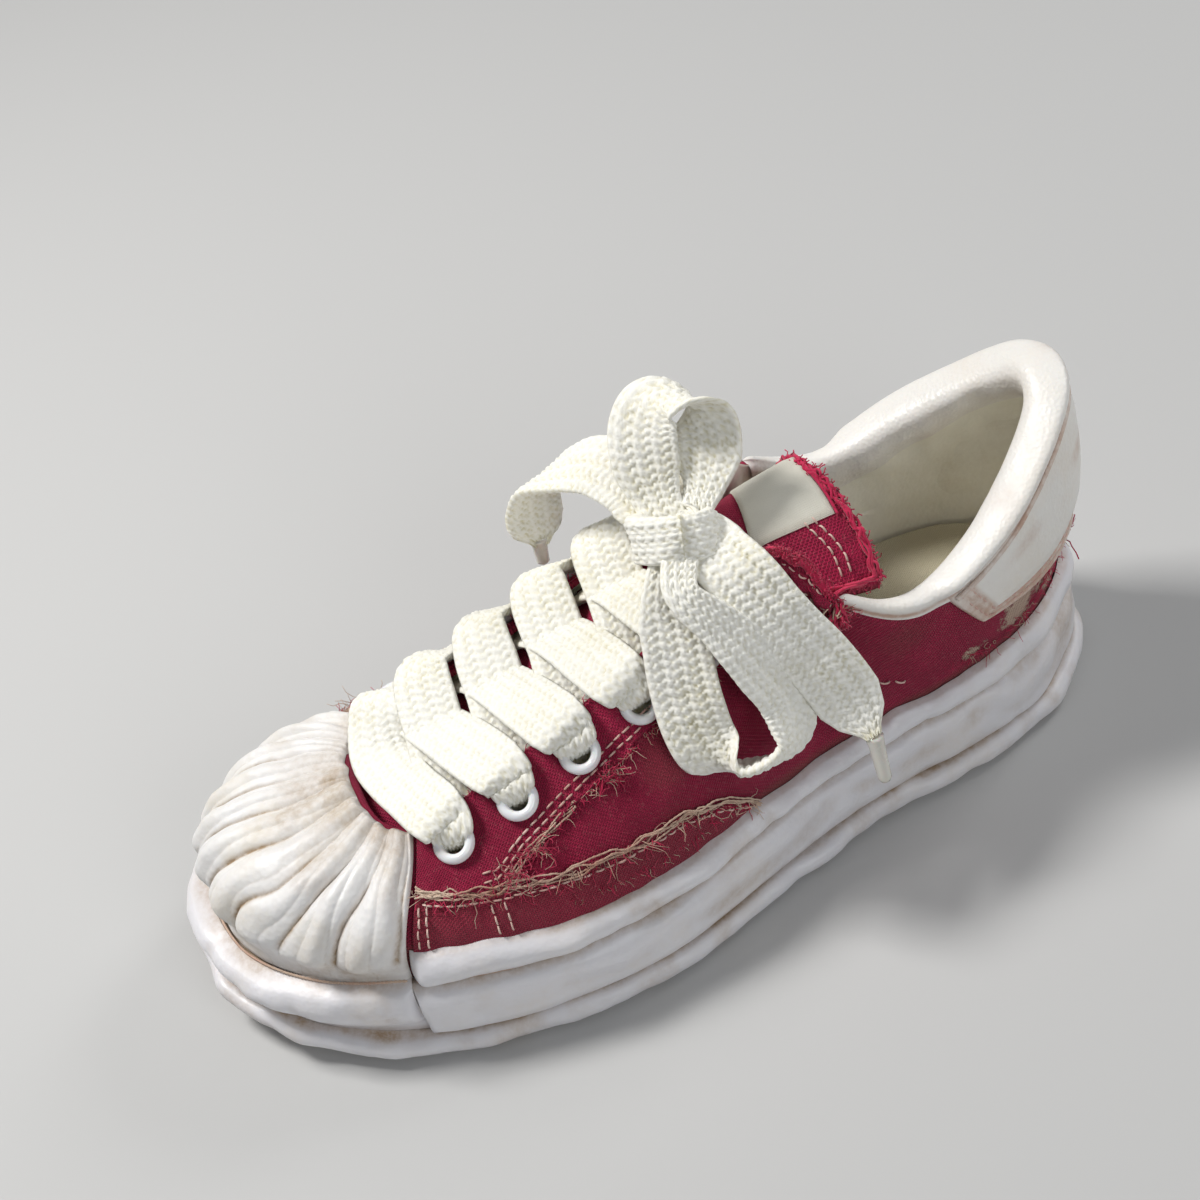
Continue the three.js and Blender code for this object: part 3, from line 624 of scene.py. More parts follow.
canvas = canvasLook("crimsonCanvas", {
    "pitch": 8.4, "deep": (0.32, 0.009, 0.049), "bright": (0.49, 0.016, 0.078), "gap": (0.11, 0.003, 0.015),
    "dust": (0.52, 0.20, 0.20), "bare": (0.74, 0.63, 0.48), "bareDark": (0.55, 0.38, 0.29),
    "grime": (0.20, 0.09, 0.06),
    "sheen": 0.12, "sheenTint": (1.0, 0.55, 0.6), "depth": 0.0007,
})
footCloth = canvasLook("footbedCloth", {
    "pitch": 10, "deep": (0.78, 0.74, 0.56), "bright": (0.86, 0.83, 0.67), "gap": (0.36, 0.32, 0.20),
    "dust": (0.60, 0.55, 0.42), "bare": (0.5, 0.4, 0.3), "bareDark": (0.4, 0.3, 0.2),
    "grime": (0.30, 0.24, 0.15),
    "sheen": 0.1, "sheenTint": (1, 1, 0.9), "depth": 0.0002,
})
labelCloth = canvasLook("wovenLabel", {
    "pitch": 16, "deep": (0.72, 0.71, 0.62), "bright": (0.80, 0.79, 0.70), "gap": (0.50, 0.49, 0.42),
    "dust": (0.70, 0.66, 0.58), "bare": (0.7, 0.66, 0.5), "bareDark": (0.5, 0.4, 0.3),
    "grime": (0.4, 0.3, 0.2),
    "sheen": 0.08, "sheenTint": (1, 1, 1), "depth": 0.00012,
})
# the soil colour here is the yellow cream of the painted shade in the braid's valleys and under crossing
# straps, and also of the laces' dirt
cotton = cottonLook("braidedCotton", {
    "clean": (0.92, 0.91, 0.85), "soilAndShade": (0.63, 0.575, 0.36), "tint": (0.87, 0.84, 0.70), "film": 0.30,
    "sheen": 0.15, "through": 0.0, "depth": 0.00022,
})
stitchThread = cottonLook("creamThread", {
    "clean": (0.74, 0.55, 0.48), "soilAndShade": (0.45, 0.24, 0.18), "tint": (0.62, 0.36, 0.33), "film": 0.7,
    "sheen": 0.1, "through": 0.0, "depth": 0.0001,
})
tanThread = cottonLook("tanThread", {
    "clean": (0.62, 0.48, 0.37), "soilAndShade": (0.33, 0.15, 0.10), "tint": (0.50, 0.30, 0.24), "film": 0.8,
    "sheen": 0.2, "through": 0.0, "depth": 0.0001,
})
redThread = cottonLook("redThread", {
    "clean": (0.55, 0.022, 0.085), "soilAndShade": (0.32, 0.012, 0.04), "tint": (0.66, 0.10, 0.16), "film": 0.5,
    "sheen": 0.25, "through": 0.0, "depth": 0.0001,
})
eyeletPlastic = plasticLook("eyeletPlastic", {
    "clean": (0.84, 0.85, 0.87), "soilAndShade": (0.35, 0.25, 0.17), "tint": (0.74, 0.72, 0.68), "film": 0.25,
    "gloss": (0.12, 0.30), "coat": 0.5, "through": 0.1,
})
tipPlastic = plasticLook("tipPlastic", {
    "clean": (0.66, 0.65, 0.60), "soilAndShade": (0.4, 0.3, 0.2), "tint": (0.55, 0.50, 0.42), "film": 0.5,
    "gloss": (0.15, 0.35), "coat": 0.4, "through": 0.2,
})
print("materials made")

# laces: a flat braid, threaded through the eyelets over the tongue
laceShape = {"width": 17, "thickness": 2.7, "course": 2.5, "rib": 2.25, "relief": 1.15, "step": 0.57,
    "across": 32, "under": 9}
eyeletRow = {"first": -60, "pitch": 20, "count": 6, "margin": 10}
tongueSpine = [(24, -69, 54), (27, -42, 62), (26, -12, 73), (24, 18, 85), (23, 44, 95), (25, 66, 99)]


def tonguePoint(v, s, lift=0.0):
    v, s, lift = np.broadcast_arrays(np.asarray(v, float), np.asarray(s, float), np.asarray(lift, float))
    spine = (
        spline(tongueSpine, np.maximum(v, 0) * (len(tongueSpine) - 1))
        + np.minimum(v, 0)[..., None] * (15, 135, 40)
    )
    droop = (9 + 9 * np.maximum(v, 0)**0.8) * np.abs(s)**2.2
    return vec(spine[..., 0] * s - middle[0], spine[..., 1] - 2 * s**2, spine[..., 2] - droop + lift)


def eyeletSeats(side):
    y = eyeletRow["first"] + np.arange(eyeletRow["count"]) * eyeletRow["pitch"]
    sign = 1 if side == "lateral" else -1
    low, high = (2.2, 7.4) if side == "lateral" else (15.6, 20.8)

    def ahead(u):
        return sign * (lastPoint(u, tFromEdge(u, eyeletRow["margin"]))[..., 1] - y)

    u = solve(ahead, y.shape, low, high)
    t = tFromEdge(u, eyeletRow["margin"])
    one = np.ones_like(u)
    return {"at": lastPoint(u, t), "axis": lastNormal(u, t), "edge": lastPoint(u, one),
        "edgeAxis": lastNormal(u, one), "u": u}


seats = {side: eyeletSeats(side) for side in ("lateral", "medial")}


def braid(along, across):
    across = across + 0.26 * laceShape["rib"] * np.sin(turn * along / laceShape["course"])
    zig = np.abs(across / (2 * laceShape["rib"]) % 1 - 0.5) * 2 * laceShape["rib"]
    course = np.abs(np.sin(np.pi * (along + 0.9 * zig) / laceShape["course"]))
    rib = np.abs(np.sin(np.pi * across / laceShape["rib"]))
    return course**0.7 * (0.22 + 0.78 * rib**0.6)


def ribbon(route, widths, lay, seed, thickness=None, fold=0.0, ends=(1.0, 1.0), taper=None, under=None):
    # A flat braided lace: a closed skin round its route, wavy at its edges, with the braid raised on it.
    route, lay = np.asarray(route, float), np.asarray(lay, float)
    dense = spline(route, np.linspace(0, len(route) - 1, 400))
    run = np.concatenate([[0], np.cumsum(np.linalg.norm(np.diff(dense, axis=0), axis=1))])
    count = int(run[-1] / laceShape["step"]) + 1
    k = np.interp(np.linspace(0, run[-1], count), run, np.linspace(0, 1, 400))
    centre = spline(route, k * (len(route) - 1))
    along = np.linspace(0, run[-1], count)
    tangent = unit(np.gradient(centre, axis=0))
    facing = spline(lay, k * (len(lay) - 1))
    side = unit(np.cross(facing, tangent))
    face = np.cross(tangent, side)
    width = np.interp(k, np.linspace(0, 1, len(widths)), widths)
    if taper:  # share of the width at distances from the end
        width = width * np.interp(run[-1] - along, taper[0], taper[1])
    width = width + 0.4 * wobble(vec(along, 0, 0), 9, seed)
    n = laceShape["across"]
    s = np.concatenate([np.linspace(-1, 1, n), np.linspace(1, -1, under or n)[1:-1]])
    top = np.where(np.arange(len(s)) < n, 1.0, -1.0)
    half = (thickness or laceShape["thickness"]) / 2
    squeeze = np.sqrt(laceShape["width"] / width)[:, None]
    depth = half * squeeze * (0.36 + 0.64 * np.sqrt(1 - np.abs(s) ** 6))
    a = along[:, None] + 0 * s
    b = s * width[:, None] / 2
    edge = 1 - np.abs(s) ** 12
    raised = laceShape["relief"] * (braid(a, b * laceShape["width"] / width[:, None] + 40) - 0.6) * edge
    bend = fold * (wobble(vec(a, b, 0), 11, seed + 5) + 0.5 * wobble(vec(a, b, 0), 5, seed + 6))
    lift = top * (depth + raised) + bend
    points = centre[:, None] + side[:, None] * b[..., None] + face[:, None] * lift[..., None]
    ring = len(s)
    quads = gridQuads(count, ring)
    wrap = np.arange(count - 1) * ring
    quads = np.concatenate([quads, np.stack([wrap + ring - 1, wrap + 2 * ring - 1, wrap + ring, wrap], -1)])
    caps = [np.arange(ring)[None, :], ((count - 1) * ring + np.arange(ring))[None, ::-1]]
    cloth = np.stack([a, b + top * 20], -1).reshape(-1, 2)
    # painted shade: darker in the braid's valleys between the yarns, and over the first stretch of each
    # strap, where it lies under the strap crossing it; also darker over the last stretch towards the end,
    # with random dirt on top
    deep = smooth(1 - braid(a, b * laceShape["width"] / width[:, None] + 40), 0.35, 0.95) * 0.55
    deep = (
        deep + 0.5 * smooth(k, 0.999 - 0.06 * ends[1], 1)[:, None]
        + 0.45 * smooth(-k, -0.001 - 0.30 * ends[0], 0)[:, None]
    )
    deep = deep + 0.14 * smooth(wobble(points, 13, seed + 9), 0.2, 0.8)
    return {"points": points.reshape(-1, 3), "faces": [quads, *caps], "cloth": cloth,
        "dirtAndShade": deep.reshape(-1), "centre": centre, "length": run[-1]}


def lacePiece(name, ribbons, replaced):
    points, faces = joined([(r["points"], r["faces"]) for r in ribbons])
    cloth = np.concatenate([r["cloth"] for r in ribbons])
    dirtAndShade = np.concatenate([r["dirtAndShade"] for r in ribbons])
    return pieceMesh(name, points, faces, cotton, replaced, cloth, {"dirtAndShade": dirtAndShade})


def overTongue(y, s, height):
    v = np.interp(y, [p[1] for p in tongueSpine], np.linspace(0, 1, len(tongueSpine)))
    return tonguePoint(v, s, height)


def makeStraps():
    wide = laceShape["width"]
    up = np.array([0, 0, 1.0])
    lateral, medial = seats["lateral"], seats["medial"]

    def rim(seat, row):
        return seat["edge"][row] + 3.1 * seat["edgeAxis"][row] + 0.7 * up, seat["edgeAxis"][row] + 0.8 * up

    # a point by the eyelet: far towards the throat, high above the canvas
    def near(seat, row, far, high, lean):
        toThroat = unit(seat["edge"][row] - seat["at"][row])
        axis = seat["axis"][row]
        return seat["at"][row] + far * toThroat + high * axis, unit((1 - lean) * axis - lean * toThroat)

    def dive(seat, row):  # into the bore: the lace bunches and turns down
        return [near(seat, row, 4.6, 3.5, 0.05), near(seat, row, 1.9, 2.7, 0.4),
            near(seat, row, 1.1, -2.6, 1)]

    def made(stops, widths, seed):
        return ribbon([p for p, _ in stops], widths, [f for _, f in stops], seed, fold=0.2,
            taper=([0, 3, 6, 10, 15], [0.40, 0.54, 0.70, 0.90, 1]), under=laceShape["under"])

    def moved(stop, y):
        return stop[0] + (0, y, 0), stop[1]

    full = [wide + 0.4, wide + 0.6]
    bar = (
        dive(medial, 0)[::-1]
        + [moved(rim(medial, 0), -6), (overTongue(-71, -0.2, 3.6), up), moved(rim(lateral, 0), -3.5)]
        + dive(lateral, 0)
    )
    ribbons = [made(bar, [7, 11, 15, wide, *full, *full[::-1], *[wide] * 4], 3)]
    for row in range(1, eyeletRow["count"]):
        y = eyeletRow["first"] + row * eyeletRow["pitch"]
        crossed = ((medial, 1, 2.2, -9, 20 + row), (lateral, -1, 4.8, -2, 40 + row))
        for seat, start, height, back, seed in crossed:
            stops = [
                (overTongue(y - 21, 1.02 * start, 0.4), up + 0.5 * np.array([start, 0, 0])),
                (overTongue(y - 15, 0.60 * start, 1.6 if start < 0 else 0.6),
                    up + 0.2 * np.array([start, 0, 0])),
                (overTongue(y - 10 + back / 3, 0.0, height), up),
                moved(rim(seat, row), back), *dive(seat, row),
            ]
            ribbons.append(made(stops, [15, 16.5, *full, *full, wide, wide], seed))
    lacePiece("lace_straps", ribbons, ["lace_crossings"])


# the bow: each tail runs from the knot round its loop and back through the knot to its tip
knot = {
    "middle": (1, 25, 105), "tunnel": (0.62, -0.08, -0.76), "out": (0.705, -0.10, 0.70),
    "reach": 8.6, "depth": 6.6, "width": 13, "thickness": 5.2, "wide": 18.6,
}
centre = np.array(knot["middle"], float)
highLoop = [
    (-9, 25, 111), (-15, 26, 118), (-21, 29, 125), (-24, 35, 129), (-21, 43, 127), (-15, 44, 120),
    (-9, 40, 113), (-5, 36, 109),
]
endMedial = [
    (-12, 23, 106), (-21, 21, 109), (-32, 15, 110), (-40, 7, 106), (-45, 1, 100), (-47, -2, 92),
    (-46.5, -3, 85), (-45.4, -4.2, 78.5),
]
lowLoop = [
    (13, 17, 99), (21, 14, 90), (30, 11, 77), (38, 11, 65), (44, 17, 58), (46, 31, 60), (40, 35, 70),
    (35, 31, 82), (28, 25, 94), (19, 19, 103),
]
endLateral = [(13, 33, 103), (21, 36, 99), (30, 41, 88), (37, 47, 75), (43, 51, 63), (50, 53, 55)]
wide = knot["wide"]
exits = {"medial": centre + (-2, -3, -9), "lateral": centre + (3, 2, -9)}
tails = [
    {
        "taper": ([0, 1.5, 4, 8], [0.28, 0.45, 0.85, 1]),
        "name": "lace_tail_medial", "exit": exits["medial"], "seed": 71,
        "replaced": ["lace_loop_high", "lace_end_medial"],
        "route": [exits["medial"], centre + (-1, 0, -1), *highLoop, centre + (0, 3, 1),
            centre + (-4, 0, -1), *endMedial],
        "widths": [9, 9, 13, *[wide] * 6, 12, 8, 9, 13, *[wide] * 8],
        "lay": [
            (0, 0, 1), (0.4, 0, 0.9), (0.8, -0.2, 0.5), (0.75, -0.25, 0.6), (0.6, -0.3, 0.8),
            (0.1, -0.1, 1), (-0.5, 0.15, 0.6), (-0.7, 0.25, 0.1), (-0.7, 0.4, -0.3), (-0.6, 0.4, -0.5),
            (0, 0.1, 0.9), (0.2, -0.2, 1), (0.3, -0.3, 0.9), (0.15, -0.35, 0.9), (0, -0.35, 0.9),
            (-0.35, -0.35, 0.8), (-0.75, -0.3, 0.5), (-0.9, -0.2, 0.25), (-0.95, -0.15, 0.2),
            (-0.95, -0.1, 0.1),
        ],
        "tip": ((-45.4, -4.2, 79.5), (-44, -5, 72)), "tipName": "medial_tip", "tipNode": "aglet_medial",
    },
    {
        "taper": ([0, 2, 6, 12], [0.26, 0.38, 0.76, 1]),
        "name": "lace_tail_lateral", "exit": exits["lateral"], "seed": 83,
        "replaced": ["lace_loop_low", "lace_end_lateral"],
        "route": [exits["lateral"], centre + (2, -1, -2), *lowLoop, centre + (4, 2, 1), centre + (3, 6, -1),
            *endLateral],
        "widths": [9, 9, 12, *[wide] * 7, 17, 13, 10, 10, 14, *[wide] * 7],
        "lay": [
            (0, 0, 1), (0.5, 0, 0.8), (0.8, -0.3, 0.6), (0.8, -0.3, 0.5), (0.8, -0.3, 0.4),
            (0.75, -0.1, 0.0), (0.6, 0, -0.7), (0.7, 0.3, -0.3), (0.8, 0.4, 0.3), (0.8, 0.35, 0.5),
            (0.75, 0.2, 0.6), (0.6, 0, 0.8), (0.4, 0, 0.9), (0.4, 0, 0.9), (0.5, 0, 0.85),
            (0.6, -0.1, 0.75), (0.7, -0.1, 0.7), (0.75, -0.1, 0.6), (0.8, -0.1, 0.5), (0.8, -0.1, 0.5),
        ],
        "tip": ((50.6, 53, 54.2), (56, 52, 43)), "tipName": "lateral_tip", "tipNode": "aglet_lateral",
    },
]


def makeBow():
    # the turn of lace round the knot
    angle = np.linspace(-0.3, turn + 0.15, 26)
    tunnel = unit(np.array(knot["tunnel"]))
    out = np.array(knot["out"])
    across = unit(np.cross(out, tunnel))
    rise = 1 + 0.10 * np.linspace(0, 1, len(angle))
    ring = (
        centre + (out * (np.cos(angle) * knot["depth"] * rise)[:, None]
            + across * (np.sin(angle) * knot["reach"] * rise)[:, None])
    )
    ring = ring + tunnel * (2.4 * np.sin(angle + 0.6))[:, None]
    normal = unit(out * np.cos(angle)[:, None] / knot["depth"]
        + across * np.sin(angle)[:, None] / knot["reach"])
    wrap = ribbon(ring, [knot["width"]] * 6, normal, 97, thickness=knot["thickness"], fold=1.0,
        ends=(0.2, 0.2))
    knotPiece = lacePiece("knot_wrap", [wrap], ["lace_knot"])
    for tail in tails:
        lace = ribbon(tail["route"], tail["widths"], tail["lay"], tail["seed"], fold=0.45, ends=(0, 0.4),
            taper=tail["taper"])
        piece = lacePiece(tail["name"], [lace], tail["replaced"])
        start, end = np.array(tail["tip"], float)
        share = np.linspace(0, 1, 14)[:, None]
        radius = np.interp(share[:, 0], [0, 0.08, 0.2, 0.93, 0.98, 1], [2.6, 2.5, 2.25, 1.9, 1.7, 1.2])
        points, faces = tubes([mix(start - 0.08 * (end - start), end, share)], radius[None], 20)
        masks = {"dirtAndShade": np.full(len(points), 0.1)}
        tip = pieceMesh(tail["tipName"], points, faces, tipPlastic, [tail["tipNode"]], masks=masks)
        print(tail["name"], round(lace["length"]), "mm long")


makeStraps()
makeBow()
print("laces made")

# sole
soleShape = {
    "columns": 500, "lipWave": 0.7, "lipThick": 7.1, "grooves": [-102, -82, -62, -38, -18, 70, 90, 112],
    "grooveDepth": 2.4, "archRelief": 1.6, "ribDepth": 0.5, "ribPitch": 5.2, "rungs": 44,
    "profile": [(7.5, 0.0), (4.0, 0.0), (1.7, 0.7), (0.3, 2.1), (0, 3.7), (0.3, 5.3), (1.5, 6.6),
        (3.4, 7.05), (7.0, 7.1)],
}
everyU = np.arange(soleShape["columns"]) * stationCount / soleShape["columns"]


def flat3(p, z):
    return vec(p[..., 0], p[..., 1], z)


def rungCap(ring, across, height, flip):  # closes a ring with rungs from side to side
    n = len(ring)
    half = n // 2
    share = np.linspace(0, 1, across + 1)[None, :, None]
    grid = ring[1:half, None] * (1 - share) + ring[n - 1:half:-1, None] * share
    inner = height(grid[..., 0], grid[..., 1])
    grid[:, 1:-1, 2] = inner[:, 1:-1]
    points = np.concatenate([grid.reshape(-1, 3), ring[:1], ring[half:half + 1]])
    quads = gridQuads(half - 1, across + 1)
    k = np.arange(across)
    last = (half - 2) * (across + 1)
    count = (half - 1) * (across + 1)
    near = np.stack([np.full(across, count), k, k + 1], -1)
    far = np.stack([np.full(across, count + 1), last + k + 1, last + k], -1)
    faces = [quads, near, far]
    return points, [f[:, ::-1] for f in faces] if flip else faces


def makeOutsole():
    profile = spline(soleShape["profile"], np.linspace(0, 8, 20))
    u = everyU[:, None]
    wave = 0.9 + soleShape["lipWave"] * np.sin(u * 2.1) * np.sin(u * 5.3 + 1)
    bulge = wobble(vec(u * 3.1, 0, 0), 1.0, 5, 2)
    place = planPoint(np.broadcast_to(u, (len(everyU), len(profile))), profile[:, 0] + wave - 0.5 * bulge)
    ground = spring(place[..., 1])
    thick = 1 + 0.10 * wobble(vec(u * 2.3, 7, 0), 1.0, 6, 2)
    z = ground + profile[:, 1] * np.where(profile[:, 1] > 3, thick, 1)
    points = flat3(place, z)
    out = planNormal(everyU)[:, None]
    rough = 0.35 * wobble(points, 7, 8, 2) * smooth(profile[:, 1], 0.3, 2)
    points[..., :2] += out * rough[..., None]
    points[..., 2] = np.maximum(points[..., 2], ground)
    dirtAndShade = (
        0.75 * smooth(profile[:, 0] - 3 * (profile[:, 1] < 3), 1.6, 4.5)
        + 0.35 * smooth(-profile[:, 1], -2.2, 0)
    )
    dirtAndShade = dirtAndShade + 0.25 * smooth(wobble(points, 10, 9, 2), 0.1, 0.7)

    def tread(x, y):
        relief = (
            soleShape["archRelief"] * smooth(y, -22, 5) * (1 - smooth(y, 38, 62))
            * (0.6 - 0.4 * np.clip(x / 40, -1, 1))
        )
        zig = np.interp(x, [-66, -22, 22, 66], [-4, 4, -4, 4])
        cut = sum(smooth(-np.abs(y - zig - g), -1.6, -1.0) for g in soleShape["grooves"])
        fine = (
            soleShape["ribDepth"]
            * smooth(np.sin((y + 0.5 * zig) * turn / soleShape["ribPitch"]), 0.55, 0.8)
        )
        deep = soleShape["grooveDepth"]
        return spring(y) + relief + np.clip(deep * cut, 0, deep) + fine * (relief < 0.4)

    walls = (points.reshape(-1, 3), gridQuads(*points.shape[:2], True))
    bottom = rungCap(points[:, 0], soleShape["rungs"], tread, True)
    top = rungCap(points[:, -1], 6, lambda x, y: spring(y) + soleShape["lipThick"], False)
    allPoints, faces = joined([walls, bottom, top])
    soiled = np.concatenate([dirtAndShade.reshape(-1), np.full(len(bottom[0]), 0.55), np.full(len(top[0]), 0.5)])
    pieceMesh("outsole_tread", allPoints, faces, rubber, ["outsole"], masks={"dirtAndShade": soiled})


def behindBumper(u):
    return (
        smooth(u, capEnd + 0.02, capEnd - 0.02)
        + smooth(u, capStart + stationCount - 0.02, capStart + stationCount + 0.02)
    )


def besideUpper(u, z, gap):
    t = tAtHeight(u, z)
    p = lastPoint(u, t) + lastNormal(u, t) * np.asarray(gap)[..., None]
    return flat3(p, z)


midsoleShape = {
    "profile": [(6.6, 0.0), (4.4, 0.03), (3.1, 0.16), (2.3, 0.38), (2.1, 0.6), (2.6, 0.8), (3.9, 0.93),
        (6.2, 1.0)],
    "behind": 6.6, "melt": 0.8, "wrinkle": 0.45, "flute": 0.9, "sag": 0.7,
}


def makeMidsole():
    profile = spline(midsoleShape["profile"], np.linspace(0, 7, 26))
    u = everyU[:, None]
    hidden = behindBumper(everyU)[:, None]
    inset = mix(profile[:, 0], np.maximum(midsoleShape["behind"], profile[:, 0]), hidden)
    place = planPoint(np.broadcast_to(u, inset.shape), inset)
    low = spring(place[..., 1]) + size["sole"] + 0.2
    points = flat3(place, mix(low, grooveZ(u), profile[:, 1]))
    flutes = smooth(u, 5.4, 7) * (1 - 0.6 * smooth(u, 9.5, 11))
    melt = midsoleShape["melt"] * wobble(points * (1, 1, 0.55), 21, 11)
    melt = melt + midsoleShape["wrinkle"] * wobble(points * (1, 1, 0.35), 8, 12, 2)
    melt = melt + flutes * midsoleShape["flute"] * (np.abs(wobble(points * (1, 1, 0.25), 9, 13)) - 0.4)
    sag = (
        midsoleShape["sag"] * np.sin(profile[:, 1] * 9 + 2.4 * wobble(vec(u * 2, 1, 0), 1, 15))
        * smooth(profile[:, 1], 0.05, 0.3)
    )
    swell = (
        (melt + 0.6 * sag) * smooth(profile[:, 1], 0, 0.12) * (1 - smooth(profile[:, 1], 0.9, 1))
        * (1 - 0.8 * hidden)
    )
    out = planNormal(everyU)[:, None]
    points[..., :2] += out * swell[..., None]
    gap = np.full_like(everyU, size["fit"])
    inner = [besideUpper(everyU, z, gap) for z in (grooveZ(everyU), 24.5 + 0.6 * spring(sideY(everyU)))]
    points = np.concatenate([points, np.stack(inner, 1)], 1)
    heel = smooth(everyU, 9, 11)[:, None] * (1 - smooth(everyU, 12.5, 14))[:, None]
    dirtAndShade = (
        0.6 * smooth(profile[:, 1], 0.93, 1.0) + 0.45 * smooth(-profile[:, 1], -0.16, 0)
        + 0.25 * smooth(-swell, 0.1, 0.9)
    )
    dirtAndShade = (
        dirtAndShade + 0.3 * heel * smooth(profile[:, 1], 0.3, 0.9) + 0.4 * hidden * smooth(profile[:, 1], 0.2, 0.5)
    )
    dirtAndShade = np.concatenate([dirtAndShade, np.full((len(everyU), 2), 1.0)], 1)
    walls = (points.reshape(-1, 3), gridQuads(*points.shape[:2], True))
    bottom = rungCap(points[:, 0], 4, lambda x, y: spring(y) + size["sole"] + 0.2, True)
    top = rungCap(points[:, -1], 6, lambda x, y: size["deck"] + 0.6 * spring(y), False)
    allPoints, faces = joined([walls, bottom, top])
    soiled = np.concatenate([dirtAndShade.reshape(-1), np.full(len(bottom[0]) + len(top[0]), 0.5)])
    pieceMesh("midsole_wall", allPoints, faces, rubber, ["midsole"], masks={"dirtAndShade": soiled})


bumperShape = {"columns": 320, "rows": 26, "inset": 6.9, "bulge": 4.9, "uneven": 0.6, "lowest": 4.4}


def makeBumper():
    u = np.linspace(capStart + 0.012, capEnd - 0.012, bumperShape["columns"])[:, None]
    r = np.linspace(0, 1, bumperShape["rows"])[None, :]
    rolled = np.sin(np.pi * r) ** 0.5
    ends = np.sqrt(smooth(np.minimum(u - capStart, capEnd - u), 0.0, 0.10))
    bulge = bumperShape["bulge"] + bumperShape["uneven"] * wobble(vec(u * 3, 3, 0), 1, 16, 2)
    inset = bumperShape["inset"] - bulge * rolled * (0.25 + 0.75 * ends) + 3.2 * smooth(r, 0.9, 1)
    place = planPoint(u + 0 * r, inset)
    low = (
        spring(place[..., 1]) + size["sole"] + bumperShape["lowest"]
        + 0.7 * wobble(vec(u * 2.2, 5, 0), 1, 17)
    )
    high = grooveZ(u) + 1.2 + 0.4 * wobble(vec(u * 2.7, 9, 0), 1, 18)
    points = flat3(place, mix(low, high, r))
    lumps = (0.5 * wobble(points, 11, 19, 2) + 0.35 * wobble(points, 4.5, 20)) * rolled
    points[..., :2] += planNormal(u[:, 0])[:, None] * lumps[..., None]
    dirtAndShade = (
        0.6 * smooth(r, 0.9, 1.0) + 0.4 * smooth(-r, -0.12, 0) + 0.4 * smooth(-ends, -0.5, 0)
        + 0.25 * smooth(-lumps, 0.1, 0.6)
    )
    gridPiece("toe_band", points, rubber, "toe_bumper", dirtAndShade)


foxingShape = {"columns": 620, "rows": 26, "bulge": 4.9, "uneven": 0.7, "lumps": 0.8, "wrinkle": 0.3,
    "dents": 0.9}


def makeFoxing():
    u = np.linspace(capEnd + 0.012, stationCount + capStart - 0.012, foxingShape["columns"])[:, None]
    r = np.linspace(0, 1, foxingShape["rows"])[None, :]
    ends = np.sqrt(smooth(np.minimum(u - u[0], u[-1] - u), 0.0, 0.10))
    rolled = np.sin(np.pi * np.clip(0.10 + 0.88 * r, 0, 1)) ** 0.55
    top = foxingTopZ(u) + 1.0 * wobble(vec(u * 2.6, 2, 0), 1, 21, 2)
    low = grooveZ(u) + 0.1 + 0.5 * wobble(vec(u * 1.9, 8, 0), 1, 22, 2)
    z = mix(low, top, r)
    bulge = foxingShape["bulge"] + foxingShape["uneven"] * wobble(vec(u * 2.4, 4, 0), 1, 23, 2)
    offset = 0.4 + bulge * rolled * (0.2 + 0.8 * ends)
    offset = np.where((r == 0) | (r == 1), 0.2, offset)
    points = besideUpper(u + 0 * r, z, offset)
    lumps = foxingShape["lumps"] * wobble(points * (1, 1, 0.6), 13, 24, 2)
    lumps = (lumps + foxingShape["wrinkle"] * wobble(points, 4.5, 25)) * rolled
    dents = (
        smooth(u, 6.0, 6.6) * (1 - smooth(u, 8.6, 9.4)) * foxingShape["dents"]
        * (np.abs(wobble(points * (1, 1, 0.2), 9, 26)) - 0.35)
    )
    points[..., :2] += planNormal(u[:, 0])[:, None] * ((lumps + dents * rolled) * ends)[..., None]
    heel = smooth(u, 9.5, 11) * (1 - smooth(u, 12.5, 14))
    dirtAndShade = (
        0.6 * smooth(-r, -0.10, 0) + 0.5 * smooth(r, 0.88, 1) + 0.35 * smooth(-lumps, 0.1, 0.7)
        + 0.5 * smooth(-ends, -0.5, 0)
    )
    dirtAndShade = dirtAndShade + heel * (0.75 * smooth(wobble(points * (1, 1, 3), 14, 27), -0.3, 0.4))
    gridPiece("foxing_band", points, rubber, "foxing", dirtAndShade)


def makeGrooveLine():  # the stained seam between the foxing and the midsole
    u = np.linspace(capEnd + 0.03, stationCount + capStart - 0.03, 800)
    z = grooveZ(u) + 0.15 + 0.35 * wobble(vec(u * 2.4, 6, 0), 1, 29, 2)
    line = besideUpper(u, z, 2.6 + 0.3 * wobble(vec(u * 3, 7, 0), 1, 30))
    points, faces = tubes([line], (0.34 + 0.08 * np.sin(np.arange(800) * 1.3))[None], 6)
    masks = {"dirtAndShade": 0.5 + 0.5 * wobble(points, 9, 28, 2)}
    pieceMesh("groove_line", points, faces, tanThread, masks=masks)


makeGrooveLine()
makeOutsole()
makeMidsole()
makeBumper()
makeFoxing()
print("sole made")

# toe shell: folds that fan from the throat to the toe band
toeShape = {"folds": 10.5, "height": 4.3, "thickness": 0.9, "columns": 400, "rows": 92}


